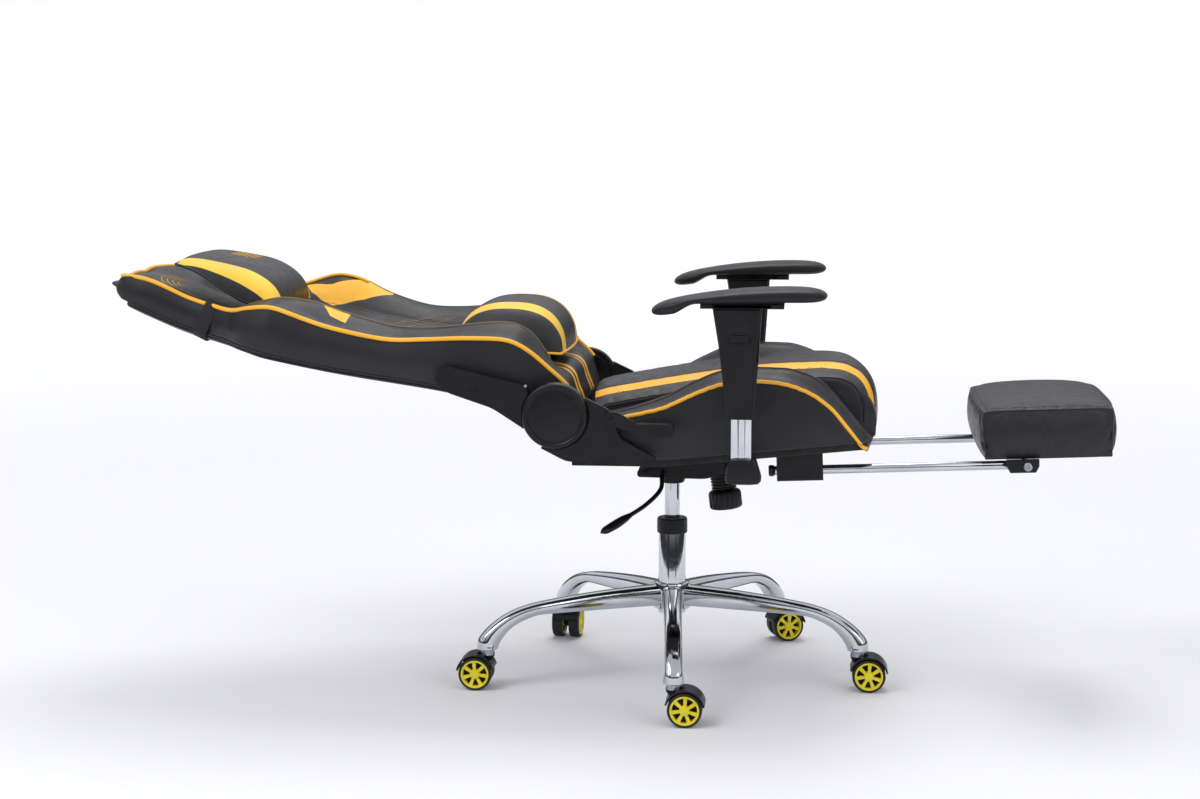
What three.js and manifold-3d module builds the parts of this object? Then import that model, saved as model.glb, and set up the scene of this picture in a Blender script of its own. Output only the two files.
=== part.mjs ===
// A reclining gaming chair with a pull-out footrest, as an assembly of separate moving pieces.
// Millimetres. +X points from the back to the footrest, +Y to the sitter's left, +Z up, floor at z = 0.
// Sizes are measured from the swivel axis; the finished group is shifted along X so that its box is centred.
import * as THREE from 'three';
import { mergeVertices } from 'three/addons/utils/BufferGeometryUtils.js';
import Module from 'manifold-3d';

const wasm = await Module();
wasm.setup();

// ---- driving dimensions --------------------------------------------------------------------------
const SHIFT_X = 109.7; // from the swivel axis to the middle of the chair's length
const FIT = 0.4; // gap kept between pieces that touch on the real chair

// Star base and casters
const STEM_RADIUS = 352; // swivel axis to a caster's stem
const STAR_TURN = 4; // degrees that the star is turned on the floor
const ARM_WIDTH = 34;
const HUB_RADIUS = 34;
const WHEEL_RADIUS = 30;
const WHEEL_TRAIL = 20; // stem to axle, along the floor
const WHEEL_INNER = 6.3; // half gap between the twin wheels
const WHEEL_OUTER = 27.5;
const CASTERS = [
  { name: 'front', star: -90, trail: 0 },
  { name: 'front_right', star: -18, trail: 0 },
  { name: 'back_right', star: 54, trail: 20 },
  { name: 'back_left', star: 126, trail: 84 },
  { name: 'front_left', star: -162, trail: 180 },
];

// Gas lift
const CYLINDER_RADIUS = 25;
const CYLINDER_TOP = 296;
const PISTON_RADIUS = 14;
const PISTON_TOP = 388;
const BOSS_BOTTOM = 361;

// Tilt mechanism
const TILT_PIVOT = { x: 75, z: 408 };
const HOUSING_WIDTH = 84;
const KNOB_LEAN = -0.115; // radians, about Y

// Seat
const SEAT_REAR = -165;
const SEAT_FRONT = 372;
const SEAT_HALF = 262;
const PAN_BOTTOM = 427;
const PAN_RISE = 0.1; // slope of the pan ahead of the swivel axis
const PAN_THICK = 14;

// Recliner
const HINGE = { x: -185, z: 521 };
const DISC_RADIUS = 57;
const REAR_ARC = 80; // room that the seat leaves around the recliner's axis
const BRACKET_BACK = 265; // inner face of each back bracket, from the middle
const BRACKET_SEAT = 270;
const COVER_FACE = 275;

// Back
const SHELL_THICK = 14;

// Armrests
const ARM_Y = 318;
const UPRIGHT = { x0: 118, x1: 153, half: 8, top: 632 };
const SLEEVE_BOTTOM = 524;
const SLEEVE_TOP = 713;
const FLANGE_TOP = 719.5;

// Footrest
const ROD_Z = 404; // height of the rods' line where it crosses the swivel axis
const ROD_SLOPE = 0.0393;
const ROD_Y = 165;
const ROD_RADIUS = 8;
const FLIP_X = 628;
const FOOT_HALF = 186;

// ---- colours -------------------------------------------------------------------------------------
const LEATHER = { color: 0x2b2a30, roughness: 0.42, metalness: 0 };
const PLASTIC = { color: 0x1c1c1f, roughness: 0.55, metalness: 0 };
const CHROME = { color: 0xd6d8dc, roughness: 0.08, metalness: 1 };
const STEEL = { color: 0x26262a, roughness: 0.5, metalness: 0.8 };
const YELLOW = { color: 0xd6c62e, roughness: 0.4, metalness: 0 };
const WEBBING = { color: 0x18181a, roughness: 0.9, metalness: 0 };
const PLYWOOD = { color: 0x2a2522, roughness: 0.8, metalness: 0 };

// ---- solids --------------------------------------------------------------------------------------
function toSolid(geometry) {
  const bare = geometry.clone();
  bare.deleteAttribute('normal');
  bare.deleteAttribute('uv');
  const merged = mergeVertices(bare, 1e-3);
  const vertProperties = Float32Array.from(merged.attributes.position.array);
  const triVerts = Uint32Array.from(merged.index.array);
  return new wasm.Manifold(new wasm.Mesh({ numProp: 3, vertProperties, triVerts }));
}

function toGeometry(solid) {
  const mesh = solid.getMesh();
  const geometry = new THREE.BufferGeometry();
  geometry.setAttribute('position', new THREE.BufferAttribute(mesh.vertProperties, 3));
  geometry.setIndex(new THREE.BufferAttribute(mesh.triVerts, 1));
  return geometry;
}

const fuse = (...parts) => toGeometry(parts.map(toSolid).reduce((a, b) => a.add(b)));
const carve = (base, ...cuts) => toGeometry(cuts.map(toSolid).reduce((a, b) => a.subtract(b), toSolid(base)));

function extrude(points, depth, bevel) {
  const shape = new THREE.Shape(points.map(([a, b]) => new THREE.Vector2(a, b)));
  const geometry = new THREE.ExtrudeGeometry(shape, {
    depth: depth - 2 * bevel,
    bevelEnabled: bevel > 0,
    bevelThickness: bevel,
    bevelSize: bevel,
    bevelOffset: -bevel,
    bevelSegments: 1,
  });
  return geometry.translate(0, 0, -(depth / 2 - bevel));
}

// An outline in (x, z), thick along Y and centred on y.
const sideplate = (points, width, y = 0, bevel = 0) =>
  extrude(points, width, bevel).rotateX(Math.PI / 2).translate(0, y, 0);

// An outline in (y, z), long along X from x0 to x1.
function crossplate(points, x0, x1, bevel = 0) {
  const turn = new THREE.Matrix4().set(0, 0, 1, 0, 1, 0, 0, 0, 0, 1, 0, 0, 0, 0, 0, 1);
  return extrude(points, x1 - x0, bevel).applyMatrix4(turn).translate((x0 + x1) / 2, 0, 0);
}

function block(x0, x1, y0, y1, z0, z1) {
  return new THREE.BoxGeometry(x1 - x0, y1 - y0, z1 - z0)
    .translate((x0 + x1) / 2, (y0 + y1) / 2, (z0 + z1) / 2);
}

const post = (radius, z0, z1, sides = 24) =>
  new THREE.CylinderGeometry(radius, radius, z1 - z0, sides).rotateX(Math.PI / 2).translate(0, 0, (z0 + z1) / 2);

const pin = (radius, y0, y1, x, z, sides = 20) =>
  new THREE.CylinderGeometry(radius, radius, y1 - y0, sides).translate(x, (y0 + y1) / 2, z);

const rod = (radius, x0, x1, y, z, sides = 16) =>
  new THREE.CylinderGeometry(radius, radius, x1 - x0, sides).rotateZ(-Math.PI / 2)
    .translate((x0 + x1) / 2, y, z);

// A closed outline of (radius, height) turned about Y.
const turned = (points, sides) =>
  new THREE.LatheGeometry(points.map(([r, h]) => new THREE.Vector2(r, h)), sides);

// A box with u, v and w from -1 to 1 carried to any shape.
function sculpt(nu, nv, nw, place) {
  const geometry = new THREE.BoxGeometry(2, 2, 2, nu, nv, nw);
  const position = geometry.attributes.position;
  for (let i = 0; i < position.count; i += 1) {
    position.setXYZ(i, ...place(position.getX(i), position.getY(i), position.getZ(i)));
  }
  return geometry;
}

// A value on straight lines between hand-set stops [at, value].
function through(stops) {
  return (at) => {
    const next = stops.findIndex(([a]) => a >= at);
    if (next === 0) return stops[0][1];
    if (next < 0) return stops[stops.length - 1][1];
    const [a0, v0] = stops[next - 1];
    const [a1, v1] = stops[next];
    return v0 + ((v1 - v0) * (at - a0)) / (a1 - a0);
  };
}

const mix = THREE.MathUtils.lerp;
const ease = THREE.MathUtils.smoothstep;
const degrees = THREE.MathUtils.degToRad;

const chair = new THREE.Group();
chair.position.x = SHIFT_X;

function add(name, geometry, look, group = chair) {
  geometry.deleteAttribute('uv');
  geometry.computeVertexNormals();
  const mesh = new THREE.Mesh(geometry, new THREE.MeshStandardMaterial({ ...look, flatShading: true }));
  mesh.name = name;
  group.add(mesh);
}

// ---- star base -----------------------------------------------------------------------------------
function starBase() {
  const side = [
    [10, 132], [200, 131], [250, 130], [286, 121], [313, 105], [327, 88], [332, 72], [370, 72],
    [371, 84], [357, 104], [334, 122], [304, 138], [268, 149], [200, 158], [120, 165], [10, 172],
  ];
  const arms = CASTERS.map(({ star }) => {
    const arm = fuse(sideplate(side, ARM_WIDTH, 0, 5), post(18, 72, 96).translate(STEM_RADIUS, 0, 0));
    return carve(arm, post(5.9, 60, 97, 12).translate(STEM_RADIUS, 0, 0)).rotateZ(degrees(star + STAR_TURN));
  });
  const star = fuse(post(HUB_RADIUS, 126, 176), ...arms);
  add('star_base', carve(star, post(CYLINDER_RADIUS + FIT, 100, 200)), CHROME);
}

// ---- casters -------------------------------------------------------------------------------------
function casterFork() {
  const web = [[-13, 69], [13, 69], [34, 58], [44, 44], [40, 24], [24, 18], [10, 24], [2, 42], [-13, 58]];
  const fender = [];
  for (let i = 0; i <= 8; i += 1) {
    const a = degrees(mix(10, 165, i / 8));
    fender.push([WHEEL_TRAIL + 35 * Math.cos(a), WHEEL_RADIUS + 35 * Math.sin(a)]);
  }
  for (let i = 8; i >= 0; i -= 1) {
    const a = degrees(mix(10, 165, i / 8));
    fender.push([WHEEL_TRAIL + 31.6 * Math.cos(a), WHEEL_RADIUS + 31.6 * Math.sin(a)]);
  }
  return fuse(
    post(5.5, 60, 96, 12),
    post(13, 61, 70, 16),
    sideplate(web, 2 * WHEEL_INNER - 1.2),
    sideplate(fender, 2 * WHEEL_OUTER - 3),
    pin(4, 0.8 - WHEEL_OUTER + 2, WHEEL_OUTER - 2.8, WHEEL_TRAIL, WHEEL_RADIUS, 12),
  );
}

function casterWheel(side) {
  const outline = [
    [4.3, WHEEL_OUTER - 2.1], [4.3, WHEEL_INNER], [28, WHEEL_INNER], [WHEEL_RADIUS, WHEEL_INNER + 2.4],
    [WHEEL_RADIUS, WHEEL_OUTER - 3], [28, WHEEL_OUTER - 0.4], [24, WHEEL_OUTER], [22.5, WHEEL_OUTER - 2.5],
    [9, WHEEL_OUTER - 2.5], [7.5, WHEEL_OUTER - 0.5], [0, WHEEL_OUTER - 0.5], [0, WHEEL_OUTER - 2.1],
  ];
  outline.push(outline[0]);
  const wheel = turned(outline, 20);
  if (side < 0) wheel.rotateX(Math.PI);
  return wheel.translate(WHEEL_TRAIL, 0, WHEEL_RADIUS);
}

function caster({ name, star, trail }) {
  const at = degrees(star + STAR_TURN);
  const group = new THREE.Group();
  group.position.set(STEM_RADIUS * Math.cos(at), STEM_RADIUS * Math.sin(at), 0);
  group.rotation.z = degrees(trail);
  chair.add(group);
  add(`caster_${name}_fork`, casterFork(), PLASTIC, group);
  add(`caster_${name}_wheel_a`, casterWheel(1), YELLOW, group);
  add(`caster_${name}_wheel_b`, casterWheel(-1), YELLOW, group);
}

// ---- gas lift ------------------------------------------------------------------------------------
function gasLift() {
  const collar = CYLINDER_TOP - 12;
  const tube = [
    [0, 118], [CYLINDER_RADIUS, 118], [CYLINDER_RADIUS, collar], [28, collar], [28, CYLINDER_TOP],
    [PISTON_RADIUS + FIT, CYLINDER_TOP], [PISTON_RADIUS + FIT, collar], [20, collar], [20, 124], [0, 124],
  ];
  add('gas_cylinder', turned(tube, 32).rotateX(Math.PI / 2), CHROME);
  add('gas_piston', post(PISTON_RADIUS, 186, PISTON_TOP, 32), CHROME);
}

// ---- tilt mechanism ------------------------------------------------------------------------------
function tiltHousing() {
  const body = [[-62, 376], [60, 374], [118, 388], [120, 408], [100, 417], [50, 413], [-62, 389]];
  const boss = turned([[0, BOSS_BOTTOM], [22, BOSS_BOTTOM], [31, 396], [0, 396]], 32).rotateX(Math.PI / 2);
  const spring = post(25, -24, 20).rotateY(KNOB_LEAN).translate(92, 0, 378);
  const whole = fuse(sideplate(body, HOUSING_WIDTH, 0, 4), boss, spring);
  return carve(
    whole,
    post(PISTON_RADIUS + FIT, 300, PISTON_TOP + 1, 32),
    pin(5.4, -60, 60, TILT_PIVOT.x, TILT_PIVOT.z),
    pin(7.5, -60, -24, -15, 386),
    post(5.5, -40, -2, 16).rotateY(KNOB_LEAN).translate(92, 0, 378),
  );
}

function seatPlate() {
  const top = PAN_BOTTOM - FIT;
  const rise = 190 * PAN_RISE;
  const sheet = [[-130, top - 5], [0, top - 5], [190, top - 5 + rise], [190, top + rise], [0, top], [-130, top]];
  const ear = [[52, 396], [98, 396], [98, 432], [52, 428]];
  const earY = HOUSING_WIDTH / 2 + 6;
  return fuse(
    sideplate(sheet, 200),
    sideplate(ear, 5, earY),
    sideplate(ear, 5, -earY),
    pin(5, -earY, earY, TILT_PIVOT.x, TILT_PIVOT.z),
  );
}

function tensionKnob() {
  const knob = turned([[0, -64], [27, -64], [30, -60], [30, -34], [26, -29], [0, -29]], 24).rotateX(Math.PI / 2);
  return fuse(knob, post(5, -40, -4, 16)).rotateY(KNOB_LEAN).translate(92, 0, 378);
}

function gasLever() {
  const path = new THREE.CatmullRomCurve3(
    [[-15, -27, 386], [-15, -70, 384], [-16, -92, 362], [-40, -128, 340], [-74, -168, 322]]
      .map((p) => new THREE.Vector3(...p)),
  );
  const round = new THREE.Shape().absarc(0, 0, 4, 0, 2 * Math.PI);
  const bar = new THREE.ExtrudeGeometry(round, { steps: 16, curveSegments: 5, extrudePath: path });
  const grip = new THREE.SphereGeometry(1, 12, 8).scale(10, 34, 6).rotateX(0.32).rotateZ(-0.7);
  return fuse(bar, grip.translate(-90, -188, 313));
}

function mechanism() {
  add('tilt_housing', tiltHousing(), STEEL);
  add('seat_plate', seatPlate(), STEEL);
  add('tension_knob', tensionKnob(), PLASTIC);
  add('gas_lever', gasLever(), PLASTIC);
}

// ---- seat ----------------------------------------------------------------------------------------
const seatCentre = through([
  [-165, 526], [-83, 547], [47, 570], [157, 586], [231, 592], [300, 592], [330, 586], [350, 572],
  [364, 550], [372, 520],
]);
const seatBolster = through([
  [-165, 500], [-70, 520], [-6, 540], [45, 566], [97, 590], [143, 598], [220, 596], [258, 582],
  [290, 556], [322, 520], [345, 500], [372, 494],
]);
const seatHalf = through([[-165, 256], [-60, SEAT_HALF], [250, SEAT_HALF], [330, 252], [372, 238]]);
const panTop = (x) => PAN_BOTTOM + PAN_THICK + Math.max(0, x) * PAN_RISE;

function seat() {
  const rise = 350 * PAN_RISE;
  const pan = [
    [SEAT_REAR + 4, PAN_BOTTOM], [0, PAN_BOTTOM], [350, PAN_BOTTOM + rise],
    [350, PAN_BOTTOM + PAN_THICK + rise], [0, PAN_BOTTOM + PAN_THICK], [SEAT_REAR + 4, PAN_BOTTOM + PAN_THICK],
  ];
  add('seat_pan', sideplate(pan, 480), PLYWOOD);
  const cushion = sculpt(14, 14, 5, (u, v, w) => {
    const a = Math.abs(v);
    const side = ease(a, 0.62, 0.84);
    const edge = 20 * ease(a, 0.9, 1);
    const top = (x) => mix(seatCentre(x), seatBolster(x), side) - edge;
    if (u === -1) return seatRear(v, w, top(HINGE.x + REAR_ARC));
    const x = mix(-100, SEAT_FRONT, (u + 1) / 2);
    return [x, v * seatHalf(x), mix(panTop(x) + FIT, top(x), (w + 1) / 2)];
  });
  add('seat_cushion', cushion, LEATHER);
}

// The seat's rear end is hollowed about the recliner's axis, so that the back can turn in it.
function seatRear(v, w, top) {
  if (w === -1) return [SEAT_REAR, v * seatHalf(SEAT_REAR), PAN_BOTTOM + PAN_THICK + FIT];
  const turn = mix(-1.31, Math.asin((top - HINGE.z) / REAR_ARC), (w + 1) / 2);
  const x = HINGE.x + REAR_ARC * Math.cos(turn);
  return [x, v * seatHalf(x), HINGE.z + REAR_ARC * Math.sin(turn)];
}

// ---- back ----------------------------------------------------------------------------------------
const rearLine = new THREE.SplineCurve(
  [[-1000, 722], [-920, 680], [-820, 639], [-697, 603], [-541, 573], [-398, 551], [-260, 524], [-150, 508]]
    .map((p) => new THREE.Vector2(...p)),
);
const backHalf = through([
  [-1000, 118], [-965, 146], [-900, 154], [-835, 160], [-790, 190], [-745, 242], [-700, 264], [-600, 263],
  [-500, 255], [-400, 257], [-280, 257], [-225, 248], [-150, 236],
]);
const backCentre = through([
  [-1000, 44], [-965, 60], [-800, 60], [-700, 56], [-500, 62], [-300, 66], [-220, 72], [-180, 76], [-150, 70],
]);
const backBolster = through([
  [-1000, 42], [-960, 70], [-880, 66], [-787, 67], [-745, 84], [-707, 98], [-646, 90], [-600, 84], [-502, 80],
  [-424, 92], [-359, 107], [-292, 118], [-250, 106], [-215, 84], [-185, 64], [-150, 50],
]);
const backCrest = through([
  [-800, 0], [-707, 13], [-650, 33], [-576, 24], [-502, 20], [-424, 16], [-300, 26], [-262, 26], [-229, 15],
  [-200, 3], [-150, 0],
]);

function onBack(u, y, height) {
  const s = (u + 1) / 2;
  const at = rearLine.getPoint(s);
  const along = rearLine.getTangent(s);
  return [at.x - along.y * height, y, at.y + along.x * height];
}

function backrest() {
  const station = (u) => rearLine.getPoint((u + 1) / 2).x;
  const shell = sculpt(16, 6, 1, (u, v, w) => {
    const half = backHalf(station(u)) - 4;
    return onBack(u, v * half, w > 0 ? SHELL_THICK : 5 * ease(Math.abs(v), 0.8, 1));
  });
  const cushion = sculpt(18, 14, 2, (u, v, w) => {
    const x = station(u);
    const a = Math.abs(v);
    const crest = backBolster(x) + backCrest(x) * (1 - ease(a, 0.84, 1));
    const full = mix(backCentre(x), crest, ease(a, 0.55, 0.82)) - 8 * ease(a, 0.92, 1);
    return onBack(u, v * backHalf(x), mix(SHELL_THICK + FIT, full, (w + 1) / 2));
  });
  add('back_shell', shell, PLASTIC);
  add('back_cushion', cushion, LEATHER);
}

// ---- pillows and straps --------------------------------------------------------------------------
function pillow(halfLength, halfWidth, halfThick, lean, x, z) {
  return sculpt(8, 8, 2, (u, v, w) => {
    const dome = Math.sqrt((1 - Math.abs(u) ** 2.6) * (1 - Math.abs(v) ** 5));
    const height = w * (5 + (halfThick - 5) * dome);
    return [u * halfLength * (1 - 0.06 * v * v), v * halfWidth * (1 - 0.04 * u * u), height];
  }).rotateY(lean).translate(x, 0, z);
}

function headStrap() {
  const [half, low, high, t] = [176, -4, 58, 2.4];
  const band = [
    [-half - t, high], [-half - t, low - t], [half + t, low - t], [half + t, high],
    [half, high], [half, low], [-half, low], [-half, high],
  ];
  return crossplate(band, -12.5, 12.5).rotateY(0.34).translate(-830, 0, 643);
}

function backBelt() {
  const band = sculpt(10, 1, 1, (u, v, w) => {
    const station = mix(-0.35, 0.3, (u + 1) / 2);
    return onBack(station, 16 * v, w > 0 ? -FIT : -2.8);
  });
  const buckle = new THREE.BoxGeometry(58, 46, 12).rotateY(0.2).translate(-608, 0, 577);
  return fuse(band, buckle);
}

function softTrim() {
  add('head_pillow', pillow(108, 152, 38, 0.29, -788, 740), LEATHER);
  add('head_strap', headStrap(), WEBBING);
  add('lumbar_pillow', pillow(102, 160, 46, 0.06, -281, 660), LEATHER);
  add('back_belt', backBelt(), WEBBING);
}

// ---- recliner ------------------------------------------------------------------------------------
function roundAbout(radius, from, to, steps) {
  const points = [];
  for (let i = 0; i <= steps; i += 1) {
    const a = degrees(mix(from, to, i / steps));
    points.push([HINGE.x + radius * Math.cos(a), HINGE.z + radius * Math.sin(a)]);
  }
  return points;
}

function span(side, near, far) {
  return side > 0 ? [near, far] : [-far, -near];
}

function recliner(side, hand) {
  const disc = turned(
    [[0, 0], [DISC_RADIUS - 2, 0], [DISC_RADIUS, 3], [DISC_RADIUS, 17], [DISC_RADIUS - 6, 23], [0, 25]],
    36,
  );
  if (side < 0) disc.rotateX(Math.PI);
  add(`hinge_disc_${hand}`, disc.translate(HINGE.x, side * COVER_FACE, HINGE.z), PLASTIC);

  const backArm = [[-392, 572], [-372, 598], [-225, 562], ...roundAbout(48, 100, -110, 14), [-290, 536]];
  const backPlate = fuse(
    sideplate(backArm, 4, side * (BRACKET_BACK + 2)),
    pin(9, ...span(side, 257.6, BRACKET_BACK + 1), -362, 576, 12),
    pin(9, ...span(side, 257.6, BRACKET_BACK + 1), -285, 556, 12),
  );
  add(`back_bracket_${hand}`, backPlate, STEEL);

  const seatArm = [...roundAbout(48, 250, 40, 14), [-96, 528], [-80, 484], [-14, 450], [-160, 446]];
  const seatSide = fuse(
    sideplate(seatArm, 4, side * (BRACKET_SEAT + 2)),
    pin(9, ...span(side, SEAT_HALF + 0.6, BRACKET_SEAT + 1), -60, 468, 12),
    pin(9, ...span(side, SEAT_HALF + 0.6, BRACKET_SEAT + 1), -110, 466, 12),
  );
  add(`seat_bracket_${hand}`, seatSide, STEEL);

  const backCover = [
    [-398, 584], [-374, 604], [-238, 572], ...roundAbout(59, 142, 205, 7), [-294, 532], [-375, 559],
  ];
  const holed = carve(
    sideplate(backCover, 10, side * (COVER_FACE + 5), 2),
    pin(6, ...span(side, COVER_FACE - 2, COVER_FACE + 14), -327, 568, 12),
  );
  add(`back_cover_${hand}`, holed, PLASTIC);

  const seatCover = [
    [-211, 464], ...roundAbout(59, 248, 392, 12), [-90, 531], [-74, 482], [-6, 446], [-69, 439], [-166, 441],
  ];
  const drilled = carve(
    sideplate(seatCover, 10, side * (COVER_FACE + 5), 2),
    pin(5, ...span(side, COVER_FACE - 2, COVER_FACE + 14), -45, 459, 12),
  );
  add(`seat_cover_${hand}`, drilled, PLASTIC);
}

function reclineLever() {
  const y = COVER_FACE + 10 + FIT;
  const link = [[-103, 512], [-95, 529], [-78, 529], [-44, 509], [-44, 491], [-84, 505]];
  return fuse(
    sideplate(link, 6, -(y + 3)),
    sideplate([[-48, 488], [16, 488], [19, 492], [19, 506], [15, 510], [-48, 510]], 20, -(y + 6), 2),
  );
}

// ---- armrests ------------------------------------------------------------------------------------
function bracketOutline(side, grow) {
  const inner = ARM_Y - UPRIGHT.half - grow;
  const outer = ARM_Y + UPRIGHT.half + grow;
  const points = [
    [102, 430 - grow], [outer, 430 - grow], [outer, UPRIGHT.top], [inner, UPRIGHT.top],
    [inner, 438 + grow], [102, 438 + grow],
  ];
  return points.map(([y, z]) => [side * y, z]);
}

function armrest(side, hand) {
  add(`arm_bracket_${hand}`, crossplate(bracketOutline(side, 0), UPRIGHT.x0, UPRIGHT.x1), CHROME);

  const flare = [[108, 413], [171, 413], [170, 424], [161, 456], [114, 456], [109, 424]];
  const boot = sideplate(flare, 42, side * ARM_Y, 3);
  const room = crossplate(bracketOutline(side, FIT), UPRIGHT.x0 - FIT, UPRIGHT.x1 + FIT);
  add(`arm_boot_${hand}`, carve(boot, room), PLASTIC);

  const column = [[111, SLEEVE_BOTTOM], [157, SLEEVE_BOTTOM], [169, SLEEVE_TOP], [86, SLEEVE_TOP], [98, 640]];
  const [y0, y1] = span(side, ARM_Y - UPRIGHT.half - FIT, ARM_Y + UPRIGHT.half + FIT);
  const face = ARM_Y + 19;
  const [p0, p1] = span(side, face - 8.6, face + 4);
  const body = fuse(
    sideplate(column, 38, side * ARM_Y, 4),
    block(66, 206, side * ARM_Y - 30, side * ARM_Y + 30, SLEEVE_TOP - 0.5, FLANGE_TOP),
  );
  const sleeve = carve(
    body,
    block(UPRIGHT.x0 - FIT, UPRIGHT.x1 + FIT, y0, y1, 500, 696),
    sideplate(oblong(132, 661, 34, 14), p1 - p0, (p0 + p1) / 2),
  );
  add(`arm_sleeve_${hand}`, sleeve, PLASTIC);
  add(`arm_button_${hand}`, sideplate(oblong(132, 661, 33, 13), 7, side * (face - 1.5)), PLASTIC);

  const pad = sculpt(12, 6, 2, (u, v, w) => {
    const x = mix(-17, 278, (u + 1) / 2);
    const line = mix(706, 727, (u + 1) / 2) + 15 * (1 - ((x - 150) / 170) ** 2);
    const flat = Math.max(line - 13, mix(line - 13, FLANGE_TOP + FIT, ease(x, 20, 60) * (1 - ease(x, 212, 250))));
    const plan = 45 * (1 - 0.3 * Math.abs(u) ** 4) * (w > 0 ? 0.93 : 1);
    const top = line + 13.5 - 4 * v * v;
    return [x, side * ARM_Y + v * plan, w > 0 ? top : w < 0 ? flat : (top + flat) / 2];
  });
  add(`arm_pad_${hand}`, pad, LEATHER);
}

function oblong(x, z, length, height) {
  const r = height / 2;
  const points = [];
  for (const [end, start] of [[1, -90], [-1, 90]]) {
    for (let i = 0; i <= 6; i += 1) {
      const a = degrees(start + 30 * i);
      points.push([x + end * (length / 2 - r) + r * Math.cos(a), z + r * Math.sin(a)]);
    }
  }
  return points;
}

// ---- footrest ------------------------------------------------------------------------------------
function footrestSide(side, hand, group) {
  const y = side * ROD_Y;
  const guide = fuse(
    sideplate([[194, -17], [275, -17], [275, 34], [194, 29]], 34, y, 3),
    sideplate([[178, 26], [297, 33], [297, 40.2], [178, 33]], 44, y),
  );
  add(`rod_guide_${hand}`, carve(guide, rod(ROD_RADIUS + FIT, 150, 320, y, 0)), PLASTIC, group);

  const shaft = fuse(
    rod(ROD_RADIUS, 182, FLIP_X + 8, y, 0),
    new THREE.CylinderGeometry(10.5, 10.5, 9, 6).rotateZ(Math.PI / 2).translate(184, y, 0),
  );
  add(`footrest_rod_${hand}`, carve(shaft, pin(4.4, y - 20, y + 20, FLIP_X, 0, 12)), CHROME, group);

  const clamp = sideplate([[598, -11], [642, -11], [648, 0], [648, 11.6], [592, 11.6], [592, 0]], 14, side * 183, 2);
  add(`footrest_clamp_${hand}`, carve(clamp, pin(4.4, -200, 200, FLIP_X, 0, 12)), PLASTIC, group);
}

function footrest() {
  const group = new THREE.Group();
  group.position.z = ROD_Z;
  group.rotation.y = -Math.atan(ROD_SLOPE);
  chair.add(group);
  footrestSide(1, 'left', group);
  footrestSide(-1, 'right', group);
  const heads = [-1, 1].map((side) => pin(7.5, ...span(side, 190.4, 195), FLIP_X, 0, 16));
  add('footrest_axle', fuse(pin(4, -193, 193, FLIP_X, 0, 12), ...heads), CHROME, group);
  add('footrest_board', block(556, 774, -FOOT_HALF + 8, FOOT_HALF - 8, 12, 22), PLYWOOD, group);
  const pad = sculpt(6, 8, 2, (u, v, w) => {
    const crown = 8 * (1 - u * u) * (1 - v ** 4);
    const inset = w > 0 ? 0.975 : 1;
    return [665 + 117 * u * inset, FOOT_HALF * v * inset, w > 0 ? 101 + crown : w < 0 ? 22 + FIT : 62];
  });
  add('footrest_pad', pad, LEATHER, group);
}

starBase();
CASTERS.forEach(caster);
gasLift();
mechanism();
seat();
backrest();
softTrim();
recliner(1, 'left');
recliner(-1, 'right');
add('recline_lever', reclineLever(), PLASTIC);
armrest(1, 'left');
armrest(-1, 'right');
footrest();

export default chair;
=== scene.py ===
"""The looks of a reclining gaming chair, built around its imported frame.

Every length below is in millimetres from the swivel axis, as in the part's own source: +X towards the
footrest, +Y to the sitter's left, +Z up. piece() turns them into metres in the row frame.
"""
import math

import bmesh
import bpy
import numpy as np
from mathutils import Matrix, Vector
from mathutils.bvhtree import BVHTree


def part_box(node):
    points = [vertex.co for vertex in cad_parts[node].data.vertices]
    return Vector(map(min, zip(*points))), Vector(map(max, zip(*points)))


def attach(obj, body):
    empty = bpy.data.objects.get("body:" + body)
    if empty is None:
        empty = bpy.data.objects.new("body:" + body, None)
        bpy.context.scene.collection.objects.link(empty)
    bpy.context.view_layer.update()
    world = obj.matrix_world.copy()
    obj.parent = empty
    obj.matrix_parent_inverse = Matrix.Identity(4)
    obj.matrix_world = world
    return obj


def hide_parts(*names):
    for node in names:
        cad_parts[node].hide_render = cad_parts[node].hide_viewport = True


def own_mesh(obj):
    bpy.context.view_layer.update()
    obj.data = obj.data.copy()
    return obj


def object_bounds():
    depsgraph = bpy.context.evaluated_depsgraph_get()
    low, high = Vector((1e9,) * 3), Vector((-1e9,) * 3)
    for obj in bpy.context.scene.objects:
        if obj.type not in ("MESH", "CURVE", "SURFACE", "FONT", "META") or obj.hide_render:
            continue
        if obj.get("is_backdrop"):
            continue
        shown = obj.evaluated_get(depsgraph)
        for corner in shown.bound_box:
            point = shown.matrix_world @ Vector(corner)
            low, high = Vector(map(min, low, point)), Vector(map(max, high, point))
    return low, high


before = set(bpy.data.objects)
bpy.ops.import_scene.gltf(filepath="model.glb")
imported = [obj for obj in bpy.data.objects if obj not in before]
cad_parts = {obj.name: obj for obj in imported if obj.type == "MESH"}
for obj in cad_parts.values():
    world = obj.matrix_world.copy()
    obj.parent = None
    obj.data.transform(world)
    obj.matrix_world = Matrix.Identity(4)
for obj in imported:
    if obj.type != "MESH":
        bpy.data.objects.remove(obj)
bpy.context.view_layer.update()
low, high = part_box("gas_cylinder")
ORIGIN = np.array([(low.x + high.x) * 500.0, 0.0, 0.0])  # the swivel axis in the row frame, mm
HANDS = ((1, "left"), (-1, "right"))

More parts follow.
